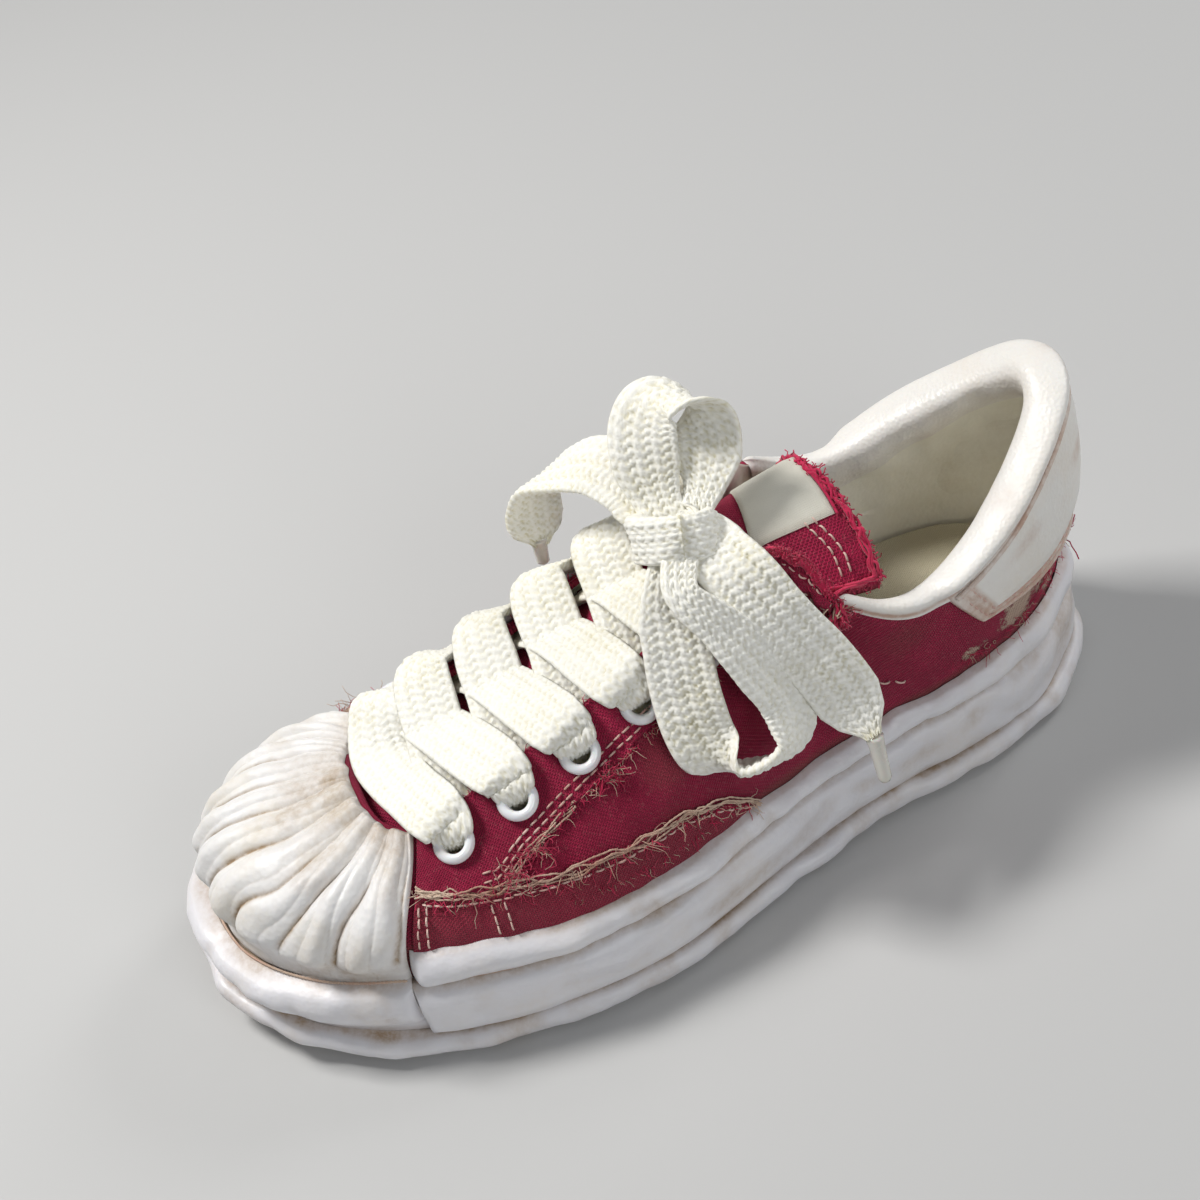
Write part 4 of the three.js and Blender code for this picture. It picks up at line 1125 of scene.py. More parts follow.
def foldHeight(u, t, points):
    phase = (u - capStart) / (capEnd - capStart) * toeShape["folds"]
    phase = phase + 0.42 * wobble(points, 34, 31) + 0.13 * wobble(points, 12, 32)
    broad = np.abs(np.sin(np.pi * phase)) ** 0.68
    thin = np.abs(np.sin(np.pi * (phase * 2.0 + 0.9 * wobble(points, 26, 33)))) ** 0.8
    tall = smooth(t, 0.08, 0.24) * (1 - 0.5 * smooth(t, 0.55, 0.95))
    uneven = 0.8 + 0.35 * wobble(vec(phase, 4 * t, 0), 1.3, 34)
    height = tall * (toeShape["height"] * uneven * broad + 0.75 * thin + 0.3 * wobble(points, 7, 45, 2))
    return height, tall * (1 - broad), thin


def makeToeShell():
    u = np.linspace(capStart + 0.01, capEnd - 0.01, toeShape["columns"])[:, None]
    r = np.linspace(0, 1, toeShape["rows"])[None, :]
    low = tAtHeight(u, grooveZ(u) - 0.6)
    t = mix(low, 0.982 + 0.010 * wobble(vec(u * 3, 0, 0), 1, 35), r)
    base = lastPoint(u + 0 * t, t)
    height, valley, thin = foldHeight(u, t, base)
    ends = np.sqrt(smooth(np.minimum(u - capStart, capEnd - u), 0.0, 0.09))
    rims = np.sqrt(smooth(r, 0, 0.03)) * np.sqrt(smooth(1 - r, 0, 0.02))
    offset = (
        0.25 + (toeShape["thickness"] + height + 0.25 * wobble(base, 5, 36, 2)
            + 0.9 * np.exp(-(r / 0.05)**2)) * (0.12 + 0.88 * ends) * rims
    )
    points = base + lastNormal(u + 0 * t, t) * offset[..., None]
    dirtAndShade = (
        1.0 * smooth(valley, 0.5, 1.0) * (1 - 0.3 * r) + 0.15 * smooth(1 - thin, 0.8, 1)
        + 0.7 * smooth(-r, -0.03, 0)
    )
    dirtAndShade = (
        dirtAndShade + 0.3 * smooth(r, 0.72, 1.0) + 0.3 * smooth(wobble(points, 16, 37, 2), 0.0, 0.7)
        + 0.22 * smooth(wobble(points, 34, 39), -0.3, 0.5) + 0.3 * smooth(-ends, -0.7, -0.1)
    )
    gridPiece("toe_shell", points, capRubber, "toe_cap", dirtAndShade)
    # the corded, stained line where the shell meets the toe band
    line = np.linspace(capStart + 0.05, capEnd - 0.04, 500)
    z = grooveZ(line) + 1.1 + 0.3 * wobble(vec(line * 3, 3, 0), 1, 38)
    bead = besideUpper(line, z + 0.7, 2.7 + 0 * line)
    twist = 0.36 + 0.10 * np.sin(np.arange(500) * 1.9)
    points, faces = tubes([bead], twist[None], 7)
    pieceMesh("toe_cord", points, faces, tanThread, masks={"dirtAndShade": np.full(len(points), 0.25)})


makeToeShell()
print("toe shell made")

# canvas
canvasShape = {"columns": 400, "rows": 54, "holes": 3.9}
# for each station: how far the eyestay's raw edge, and the side strip's edge, lie from the throat
stayCurve = {
    "u": [2.86, 3.28, 3.6, 3.78, 4.08, 4.52, 4.96, 5.4, 6.08, 6.7, 7.2, 7.9],
    "edge": [17.5, 21.8, 26.2, 27.5, 23.5, 20.5, 18.6, 17.4, 16.2, 14.2, 11.0, 6.5],
}
stripCurve = {
    "u": [2.86, 3.28, 3.76, 4.28, 4.80, 5.41, 5.79, 6.05, 6.22],
    "edge": [18.3, 22.6, 27.6, 33.4, 38.4, 42.5, 48.5, 55.0, 62.0],
}


def stayEdge(u):
    return np.interp(u, stayCurve["u"], stayCurve["edge"])


def stripEdge(u):
    return np.interp(u, stripCurve["u"], stripCurve["edge"])


wornPatches = [  # station, height up the wall, half widths, strength
    (6.75, 0.50, 0.20, 0.09, 0.68), (7.3, 0.50, 0.20, 0.10, 0.80), (9.2, 0.40, 0.24, 0.08, 0.78),
    (9.85, 0.44, 0.34, 0.17, 0.85), (10.45, 0.34, 0.30, 0.16, 0.72), (6.45, 0.62, 0.12, 0.06, 0.52),
    (8.1, 0.40, 0.35, 0.03, 0.30), (5.0, 0.22, 0.30, 0.05, 0.5), (13.2, 0.35, 0.3, 0.12, 0.5),
    (14.8, 0.45, 0.35, 0.10, 0.45), (17.5, 0.35, 0.3, 0.12, 0.4), (11.3, 0.22, 0.4, 0.10, 0.45),
]


def wornMask(u, t, points):
    total = 0
    for at, height, wide, tall, strength in wornPatches:
        total = total + strength * np.exp(-((u - at) / wide)**2 - ((t - height) / tall)**2)
    return total + 0.10 * wobble(points, 9, 41, 2)


def creases(u, t, points):
    lateral = np.where(u > stationCount / 2, stationCount - u, u)
    flex = (
        smooth(lateral, 2.9, 3.6) * (1 - smooth(lateral, 5.2, 6.6)) * smooth(t, 0.25, 0.5)
        * (1 - 0.5 * smooth(t, 0.8, 1))
    )
    folds = wobble(points * (0.7, 1.5, 0.8), 10, 42, 2)
    slow = wobble(points, 24, 43)
    quarter = smooth(lateral, 6.5, 8) * wobble(points * (1, 0.8, 1.6), 13, 44)
    return 0.95 * flex * folds + 0.45 * slow + 0.35 * quarter


def onCanvas(u, t, offset):
    u, t, offset = np.broadcast_arrays(np.asarray(u, float), np.asarray(t, float), np.asarray(offset, float))
    base = lastPoint(u, t)
    return base + lastNormal(u, t) * (offset + creases(u % stationCount, t, base))[..., None]


def clothMap(u, points):  # millimetres round the foot and up the wall
    ring = lastPoint(np.linspace(0, stationCount, 500), np.full(500, 0.4))
    run = np.concatenate([[0], np.cumsum(np.linalg.norm(np.diff(ring, axis=0), axis=1))])
    turns = np.floor(u / stationCount)
    x = np.interp(u - turns * stationCount, np.linspace(0, stationCount, 500), run) + turns * run[-1]
    step = np.linalg.norm(np.diff(points, axis=1), axis=-1)
    y = np.concatenate([np.zeros((len(points), 1)), np.cumsum(step, 1)], 1)
    return np.stack([x + 0 * y, y - y[:, -1:]], -1).reshape(-1, 2)


def nearEyelet(points, radius):
    near = np.zeros(points.shape[:-1], bool)
    for seat in seats.values():
        for at, axis in zip(seat["at"], seat["axis"]):
            away = points - at
            high = away @ axis
            flat = np.linalg.norm(away - high[..., None] * axis, axis=-1)
            near |= (flat < radius) & (np.abs(high) < 6)
    return near


def withoutHoles(points, quads):
    return quads[~nearEyelet(points[quads].mean(1), canvasShape["holes"])]


def makeCanvas():
    u = (13.6 + np.arange(canvasShape["columns"]) * stationCount / canvasShape["columns"])[:, None]
    t = np.linspace(0, 1, canvasShape["rows"])[None, :]
    outer = onCanvas(u, t, -0.1)
    inner = onCanvas(u, t, -size["wall"])
    points, quads = shell(outer, inner, True)
    quads = withoutHoles(points, quads)
    cloth = clothMap(u + 0 * t, outer)
    worn = wornMask(u % stationCount, t, outer).reshape(-1)
    low = (
        smooth(foxingTopZ(u) + 3.5 - outer[..., 2], 0, 4) * 0.7
        + 0.3 * smooth(wobble(outer, 15, 45, 2), 0.2, 0.8)
    )
    dirtAndShade = np.concatenate([low.reshape(-1), worn * 0 + 0.2])
    masks = {"worn": np.concatenate([worn, worn * 0]), "dirtAndShade": dirtAndShade}
    both = np.concatenate([cloth, cloth])
    inside = quads.min(1) >= outer[..., 0].size
    pieceMesh("canvas_upper", points, quads, canvas, ["upper"], both, masks, (lining, inside))


def overlay(u, t, offset):  # a thin panel on the canvas, with its rim turned down to it
    u, t, offset = [np.pad(a, 1, mode="edge") for a in np.broadcast_arrays(u, t, offset)]
    offset = offset.copy()
    for border in (np.s_[0], np.s_[-1], np.s_[:, 0], np.s_[:, -1]):
        offset[border] = 0
    return onCanvas(u, t, offset), u


def sideStation(u, side):
    return u if side == "lateral" else stationCount - u


def makePanel(name, side, station, t, offset, rim, wear, dirtAndShade, holes=False):
    # wear: how bare the rim is, then the strength, grain and seed of the wear elsewhere
    points, wide = overlay(station, t, offset)
    rim = np.pad(np.broadcast_to(rim, t.shape), 1, mode="edge")
    if side == "medial":
        points, wide, rim = points[::-1], wide[::-1], rim[::-1]
    quads = gridQuads(*points.shape[:2])
    if holes:
        quads = withoutHoles(points.reshape(-1, 3), quads)
    worn = (wear[0] * rim + wear[1] * wobble(points, wear[2], wear[3], 2)).reshape(-1)
    masks = {"worn": worn, "dirtAndShade": np.full(worn.size, dirtAndShade)}
    pieceMesh(name, points.reshape(-1, 3), quads, canvas, cloth=clothMap(wide, points), masks=masks)


def makeEyestay(side, seed):
    u = np.linspace(2.87, 7.92, 300)[:, None]
    r = np.linspace(0, 1, 34)[None, :]
    ragged = 0.7 * wobble(vec(u * 9, 0, 0), 1, seed) + 0.35 * wobble(vec(u * 40, 0, 0), 1, seed + 1)
    distance = mix(stayEdge(u) + ragged, 0.25, r)
    station = sideStation(u, side)
    t = tFromEdge(station + 0 * r, distance)
    frayed = 0.8 * smooth(-r, -0.12, 0) * (0.5 + 0.5 * wobble(vec(u * 14, 1, 0), 1, seed + 3))
    offset = 0.85 + 0.25 * wobble(vec(u * 8, distance / 5, 0), 1, seed + 2) + frayed
    gathered = smooth(distance, 4.5, 1.0) * smooth(u, 6.7, 7.1)
    offset = offset + 2.6 * gathered * (1 + 0.4 * wobble(vec(u * 9, 2, 0), 1, seed + 12))
    makePanel(f"eyestay_{side}", side, station, t, offset, smooth(-r, -0.035, 0), (0.40, 0.12, 6, seed + 4),
        0.0, True)


def makeSideStrip(side, seed):  # the strip of canvas along the foxing, its upper edge left raw
    u = np.linspace(2.87, 6.2, 220)[:, None]
    r = np.linspace(0, 1, 34)[None, :]
    station = sideStation(u, side)
    high = tFromEdge(station, stripEdge(u) + 0.5 * wobble(vec(u * 10, 0, 0), 1, seed + 5))
    t = mix(np.minimum(tAtHeight(station, foxingTopZ(station) - 2), high - 0.01), high, r)
    offset = 0.7 + 0.3 * wobble(vec(u * 7, r * 3, 0), 1, seed + 6) + 0.6 * smooth(r, 0.9, 1)
    makePanel(f"side_strip_{side}", side, station, t, offset, smooth(r, 0.95, 1), (0.35, 0.14, 7, seed + 7),
        0.25)


makeCanvas()
for side, seed in (("lateral", 50), ("medial", 60)):
    makeEyestay(side, seed)
    makeSideStrip(side, seed)
print("canvas made")

# stitches and threads
stitchShape = {"pitch": 3.2, "length": 2.4, "radius": 0.29}


def stitchRow(line, normals, jitter, seed, pitch=None, length=None):
    pitch = pitch or stitchShape["pitch"]
    length = length or stitchShape["length"]
    run = np.concatenate([[0], np.cumsum(np.linalg.norm(np.diff(line, axis=0), axis=1))])
    rng = np.random.default_rng(seed)
    starts = np.arange(0.4, run[-1] - length, pitch)
    starts = starts[rng.random(len(starts)) > 0.04]
    share = np.linspace(0, 1, 6)
    s = starts[:, None] + share * length + rng.normal(0, jitter, (len(starts), 1))
    at = np.stack([np.interp(s, run, line[:, k]) for k in range(3)], -1)
    up = np.stack([np.interp(s, run, normals[:, k]) for k in range(3)], -1)
    sunk = np.array([-0.45, 0.12, 0.30, 0.30, 0.12, -0.45])
    at = at + up * sunk[:, None] + rng.normal(0, jitter, at[:, :1].shape)
    return at, np.full(at.shape[:2], stitchShape["radius"]) * (0.9 + 0.2 * rng.random((len(starts), 1)))


def canvasRow(u, distance, lift, seed, side="lateral", **spacing):
    station = sideStation(u, side)
    t = tFromEdge(station, distance)
    return stitchRow(onCanvas(station, t, lift), lastNormal(station, t), 0.12, seed, **spacing)


def stitchPiece(name, rows, sides, dirtAndShade, finer=1.0):
    paths = np.concatenate([p for p, _ in rows])
    radii = np.concatenate([r for _, r in rows]) * finer
    points, faces = tubes(paths, radii, sides)
    pieceMesh(name, points, faces, stitchThread, masks={"dirtAndShade": dirtAndShade(points)})


def upWall(u, fromEdge, side):  # a line straight up the wall, from a distance under the throat to the foxing
    station = np.full(60, sideStation(u, side))
    high = tFromEdge(station, np.full(60, fromEdge))
    t = mix(tAtHeight(station, foxingTopZ(station) + 0.5), high, np.linspace(0, 1, 60))
    return station, t


def makeStitches():
    rows = []
    for side, seed in (("lateral", 100), ("medial", 200)):
        u = np.linspace(3.62, 7.85, 300)
        rows.append(canvasRow(u, stayEdge(u) - 2.6, 1.15, seed, side))
        rows.append(canvasRow(u, stayEdge(u) - 4.9, 1.15, seed + 1, side))
        u = np.linspace(2.95, 6.12, 300)
        rows.append(canvasRow(u, stripEdge(u) + 2.2, 1.1, seed + 2, side))
        for k, (at, top) in enumerate(((2.93, 21), (3.02, 21.5), (3.64, 29.5), (3.76, 29.5))):
            station, t = upWall(at, top, side)
            rows.append(stitchRow(onCanvas(station, t, 1.1), lastNormal(station, t), 0.1, seed + 3 + k))
        u = np.linspace(7.75, 8.45, 60)
        rows.append(canvasRow(u, np.linspace(38, 36, 60), 0.3, seed + 9, side, pitch=5.2, length=3.2))
    stitchPiece("topstitches", rows, 6, lambda points: 0.25 + 0.35 * wobble(points, 8, 71, 2))


def strands(roots, leads, lengths, curl, seed, steps=4):
    rng = np.random.default_rng(seed)
    paths = [roots]
    heading = unit(leads + 0.35 * rng.normal(size=roots.shape))
    for _ in range(steps):
        heading = unit(heading + curl * rng.normal(size=roots.shape))
        paths.append(paths[-1] + heading * (lengths / steps)[:, None])
    return np.stack(paths, 1)


def fringe(u, distance, lead, count, length, radius, seed, side="lateral", lift=1.0, curl=0.5):
    rng = np.random.default_rng(seed)
    k = np.sort(rng.random(count)) * (len(u) - 1)
    station = sideStation(np.interp(k, np.arange(len(u)), u), side)
    t = tFromEdge(station, np.interp(k, np.arange(len(u)), distance) + rng.normal(0, 0.4, count))
    normal = lastNormal(station, t)
    down = unit(lastPoint(station, np.maximum(t - 0.03, 0)) - lastPoint(station, t))
    along = np.cross(down, normal)
    leads = lead[0] * down + lead[1] * along * rng.choice([-1, 1], count)[:, None] + lead[2] * normal
    paths = strands(onCanvas(station, t, lift), leads, length * (0.35 + rng.random(count)), curl, seed + 1)
    # threads lie on the cloth: none goes under it
    away = ((paths - paths[:, :1]) * normal[:, None]).sum(-1, keepdims=True)
    paths = paths + normal[:, None] * np.maximum(-away - 0.4, 0)
    return paths, np.full(paths.shape[:2], radius) * np.linspace(1, 0.6, paths.shape[1])


def cordedEdge(u, distance, lift, radius, count, seed, side):
    station = sideStation(u, side)
    lines = []
    for k in range(count):
        sway = 0.85 * wobble(vec(u * 7, k * 3, 0), 1, seed + k, 2)
        rise = 0.35 * wobble(vec(u * 9, k * 3, 5), 1, seed + 9 + k, 2)
        t = tFromEdge(station, distance + sway + 0.5 * (k - count / 2))
        lines.append(onCanvas(station, t, lift + rise))
    return np.stack(lines), np.full((count, len(u)), radius) * (1 + 0.2 * np.sin(np.arange(len(u)) * 1.7))


lipShape = {"first": 6.7, "last": 7.98, "width": 7.1, "flare": (-3.3, 2.0, 4.9), "bead": 1.05, "pile": 900}


def lipSwell(u, low, high):  # 0 at both ends of the turned-up lip
    return smooth(np.minimum(u - lipShape["first"], lipShape["last"] - u), low, high)


def sideThreads(side, seed, tan, red, corded):
    u = np.linspace(2.88, 6.16, 260)
    corded.append(cordedEdge(u, stripEdge(u), 1.5, 0.27, 4, seed, side))
    tan.append(fringe(u, stripEdge(u), (0.6, 0.9, 0.25), 90, 7, 0.14, seed + 20, side, 1.5))
    red.append(fringe(u, stripEdge(u) + 1, (1.0, 0.4, 0.3), 110, 5, 0.15, seed + 21, side, 1.3))
    u = np.linspace(2.88, 4.6, 220)
    corded.append(cordedEdge(u, stayEdge(u) + 0.3, 1.1, 0.24, 3, seed + 30, side))
    u = np.linspace(3.3, 7.9, 420)
    tan.append(fringe(u, stayEdge(u), (0.9, 0.6, 0.2), 130, 5, 0.13, seed + 40, side, 1.0))
    red.append(fringe(u, stayEdge(u), (1.0, 0.5, 0.3), 260, 3.4, 0.15, seed + 41, side, 1.0))
    u = np.linspace(3.3, 6.8, 300)
    red.append(fringe(u, 0.6 + 0 * u, (-0.7, 0.5, 0.6), 170, 2.4, 0.15, seed + 42, side, 0.8))
    u = np.linspace(4.3, 5.9, 100)  # loose yarns where the canvas meets the foxing
    station = sideStation(u, side)
    foot = lastPoint(station, tAtHeight(station, foxingTopZ(station) + 2))
    low = np.linalg.norm(foot - lastPoint(station, np.ones(100)), axis=-1)
    red.append(fringe(u, low - 3, (1.0, 0.4, 0.35), 60, 3.4, 0.15, seed + 50, side, 0.7))
    tan.append(fringe(u, low - 2, (1.0, 0.5, 0.35), 24, 3.0, 0.12, seed + 51, side, 0.7))
    u = np.linspace(7.55, 8.0, 60)  # bunched ends where the eyestay stops at the collar
    red.append(fringe(u, np.linspace(3, 6, 60), (0.8, 0.7, 0.5), 60, 4, 0.16, seed + 60, side, 1.2, 0.7))
    tan.append(fringe(u, np.linspace(4, 6, 60), (0.8, 0.7, 0.5), 30, 6, 0.13, seed + 61, side, 1.2, 0.7))


tornPlaces = [  # station, distance under the throat, number of threads, their length
    (3.92, 26.5, 60, 7), (4.15, 24, 60, 6), (4.95, 19.5, 70, 6), (5.6, 17.5, 40, 5), (8.04, 2.0, 60, 4),
]


def tornThreads(tan, red):
    for at, deep, count, long in tornPlaces:
        u = at + np.linspace(-0.10, 0.10, 20)
        spread = deep + np.linspace(-1.2, 1.2, 20)
        seed = int(at * 1000)
        red.append(fringe(u, spread, (0.5, 1.0, 0.5), count, long, 0.17, seed, "lateral", 1.0, 0.8))
        tan.append(fringe(u, spread, (0.4, 1.2, 0.4), count // 4, long, 0.14, seed + 1, "lateral", 1.2, 0.6))
    u = np.linspace(9.0, 11.3, 80)  # pulled threads round the worn heel
    deep = np.linspace(28, 50, 80)
    tan.append(fringe(u, deep, (0.5, 0.9, 0.2), 40, 3.5, 0.12, 501, "lateral", 0.4))
    red.append(fringe(u, deep, (0.5, 0.9, 0.2), 90, 5, 0.13, 503, "lateral", 0.4))
    roots = onCanvas(np.array([10.9, 10.95]), np.array([0.30, 0.31]), 0.8)
    loose = strands(roots, np.array([[0.5, 0.9, -0.1], [0.4, 0.9, 0.1]]), np.array([11.0, 8.0]), 0.25, 505)
    red.append((loose, np.full(loose.shape[:2], 0.22)))


def makeLip(tan, red):  # the eyestay's top edge turns up over the tongue and ends in a tassel at the collar
    u = np.linspace(lipShape["first"], lipShape["last"], 150)[:, None]
    r = np.linspace(0, 1, 26)[None, :]
    swell = np.sqrt(lipSwell(u, 0, 0.35)) * (1 + 0.2 * wobble(vec(u * 7, 0, 0), 1, 561, 2))
    t = tFromEdge(u + 0 * r, lipShape["width"] + 0.4 - lipShape["width"] * r)
    higher = 0.45 + 0.55 * smooth(u, 6.9, 7.7)
    flare = vec(*lipShape["flare"]) * (smooth(r, 0.15, 1.0) * swell * higher)[..., None]
    uneven = 0.3 * wobble(vec(u * 12, r * 4, 0), 1, 562, 2)
    skin = onCanvas(u, t, 1.0 + 1.6 * smooth(r, 0, 0.3) * swell + uneven) + flare
    points, quads = shell(skin, onCanvas(u, t, -0.2) + 0.75 * flare)
    across, run = np.broadcast_arrays(lipShape["width"] * r, u * 22)
    cloth = np.stack([run, across], -1).reshape(-1, 2)
    frayed = (0.3 * smooth(r, 0.8, 1) + 0.1 * wobble(skin, 4, 563, 2)).reshape(-1)
    masks = {"worn": np.concatenate([frayed, frayed]), "dirtAndShade": np.zeros(2 * frayed.size)}
    both = np.concatenate([cloth, cloth])
    pieceMesh("eyestay_lip", points, quads, canvas, cloth=both, masks=masks)
    brim = skin[:, -1]
    bead = np.stack([brim + (0, 0, -0.5), brim + vec(-0.6, 0.3, 0.3 + 0.5 * wobble(brim, 5, 564, 2))])
    thick = lipShape["bead"] * lipSwell(u[:, 0], -0.02, 0.2) * (1 + 0.3 * wobble(brim, 4, 565, 2)) + 0.1
    points, faces = tubes(bead, np.stack([thick, 0.7 * thick]), 10)
    dirtAndShade = 0.3 * smooth(wobble(points, 3, 566, 2), 0, 0.6)
    pieceMesh("eyestay_bead", points, faces, redThread, masks={"dirtAndShade": dirtAndShade})
    seams = [stitchRow(skin[:, k], lastNormal(u[:, 0], t[:, k]), 0.05, 570 + k) for k in (9, 16)]
    stitchPiece("lip_stitches", seams, 5, lambda points: np.full(len(points), 0.1))
    # short pile along the brim
    rng = np.random.default_rng(567)
    count = lipShape["pile"]
    roots = brim[rng.integers(0, 150, count)] + rng.normal(0, 0.6, (count, 3))
    leads = np.broadcast_to(np.array([0.4, 0.4, 0.8]), roots.shape)
    paths = strands(roots, leads, 0.7 + 1.3 * rng.random(count), 0.9, 568, 3)
    red.append((paths, np.full(paths.shape[:2], 0.2)))
    # long curled threads on the far side
    far = np.linspace(6.7, 7.3, 30)
    red.append(fringe(far, np.full(30, 0.3), (-0.8, 0.3, 1.0), 34, 9, 0.13, 574, "medial", 0.8, 0.75))
    # the tassel
    knotted = skin[-4, 16] + rng.normal(0, 1.0, (46, 3)) + (0, 0.5, 0.5)
    leads = np.broadcast_to(np.array([0.45, -0.45, -0.75]), knotted.shape)
    paths = strands(knotted, leads, 4.5 + 4 * rng.random(46), 0.25, 571, 9)
    toward = lastNormal(np.array([7.85]), np.array([0.8]))[0]
    taper = np.linspace(0, 1, paths.shape[1])
    paths = paths + toward * (2.2 * np.sin(np.pi * taper))[:, None]
    red.append((paths[:38], np.full(paths[:38].shape[:2], 0.42) * (1 - 0.5 * taper)))
    tan.append((paths[38:], np.full(paths[38:].shape[:2], 0.28) * (1 - 0.4 * taper)))


def makeFraying():
    tan, red, corded = [], [], []
    for side, seed in (("lateral", 300), ("medial", 400)):
        sideThreads(side, seed, tan, red, corded)
    tornThreads(tan, red)
    makeLip(tan, red)
    kinds = (
        ("tan_threads", tan, tanThread, 3),
        ("red_threads", red, redThread, 3),
        ("corded_edges", corded, tanThread, 5),
    )
    for name, rows, material, sides in kinds:
        points, faces = joined([tubes(paths, radii, sides) for paths, radii in rows])
        masks = {"dirtAndShade": 0.3 + 0.4 * wobble(points, 7, 73, 2)}
        pieceMesh(name, points, faces, material, masks=masks)


makeStitches()
makeFraying()
print("stitches and threads made")

# heel patch, collar, tongue, footbed, eyelets
heelShape = {  # stations of its front and back edges, below and above, and its flat size
    "front": (9.44, 9.24), "back": (13.56, 13.76), "lowZ": 53.5, "thickness": 2.0,
    "long": 118, "high": 42, "seams": (3.2, 5.8), "weltRadius": 0.75,
}


def makeHeelPatch():
    c = np.linspace(0, 1, 220)[:, None]
    r = np.linspace(0, 1, 64)[None, :]
    front, back = [mix(*heelShape[edge], r) for edge in ("front", "back")]
    long, high = heelShape["long"], heelShape["high"]
    u = mix(front, back, c)
    low = tAtHeight(u, heelShape["lowZ"] + 1.5 * smooth(np.abs(c - 0.5), 0.3, 0.5) + 0 * u)
    t = mix(low, tFromEdge(u, 0.2 + 0 * u), r)
    base = lastPoint(u, t)
    side = np.minimum(c, 1 - c) * long
    height = r * high + 0 * c
    inward = np.minimum(side, height)
    rim = np.sqrt(smooth(inward, -0.1, 1.0)) * np.sqrt(smooth((1 - r) * high, -0.1, 1.4))
    seam = sum(np.exp(-((inward - inset) / 0.8)**2) for inset in heelShape["seams"])
    plump = 0.9 * smooth(inward, 6, 13) + 0.3 * wobble(base, 15, 81, 2)
    offset = 0.3 + (heelShape["thickness"] + plump - 0.55 * seam) * rim
    points = base + lastNormal(u, t) * offset[..., None]
    dirtAndShade = (
        1.0 * smooth(-inward, -7.0, -5.5) * (0.7 + 0.3 * wobble(base, 6, 82))
        + 0.5 * smooth(-inward, -0.8, 0)
    )
    dirtAndShade = dirtAndShade + 0.25 * seam + 0.6 * smooth(r, 0.93, 1)
    band = smooth(-np.abs(height - 30 + 5 * wobble(base, 30, 83)), -5, 0)
    dirtAndShade = dirtAndShade + 0.45 * band * smooth(wobble(base, 14, 84), -0.2, 0.5)
    gridPiece("heel_patch", points, whiteLeather, "heel_tab", dirtAndShade)
    rows = []
    for inset, seed in zip(heelShape["seams"], (601, 602)):  # down one side, along the bottom, up the other
        first, last = int(220 * inset / long), int(220 * (1 - inset / long))
        bottom = np.argmin(np.abs(r[0] * high - inset))
        columns = np.arange(first, last)
        down, up = np.s_[first, bottom:-6], np.s_[last, bottom:-6]
        line = np.concatenate([points[down][::-1], points[columns, bottom], points[up]])
        places = [(u[down][::-1], t[down][::-1]), (u[columns, bottom], t[columns, bottom]), (u[up], t[up])]
        normals = np.concatenate([lastNormal(*place) for place in places])
        rows.append(stitchRow(line, normals, 0.04, seed, pitch=2.7, length=2.1))
    stitchPiece("heel_stitches", rows, 6, lambda points: np.full(len(points), 0.3), 0.85)


def makeWelt():  # the leather cord sewn in where the collar roll meets the heel patch
    u = np.linspace(9.32, 13.68, 300)
    t = tFromEdge(u, np.full(300, 1.7))
    line = lastPoint(u, t) + lastNormal(u, t) * 3.1
    points, faces = tubes([line], (heelShape["weltRadius"] + 0.08 * wobble(line, 4, 95))[None], 8)
    masks = {"dirtAndShade": 0.75 + 0.25 * wobble(points, 7, 96, 2)}
    pieceMesh("heel_welt", points, faces, whiteLeather, masks=masks)


collarShape = {
    "first": 8.02, "last": 14.98, "columns": 340, "rows": 64, "thin": 1.2, "pad": 4.6, "depth": 56,
    "folds": 0.9,
    # section: out from the canvas, above the edge (or below it, inside), and how much of the pad it carries
    "section": [
        (0.5, -2.2, 0), (0.8, -0.4, 0), (1.9, 2.0, 0.02), (0.3, 4.0, 0.02), (-2.2, 4.7, -0.4),
        (-2.9, 2.6, -0.9), (-2.7, -1.5, -1.05), (-2.5, -6, -0.95), (-2.6, -12, -0.5),
        (-2.6, -19, -0.12), (-2.4, -26, 0.0), (-2.4, -34, 0.0), (-2.4, -44, 0.0), (-2.4, -56, 0.0),
    ],
}


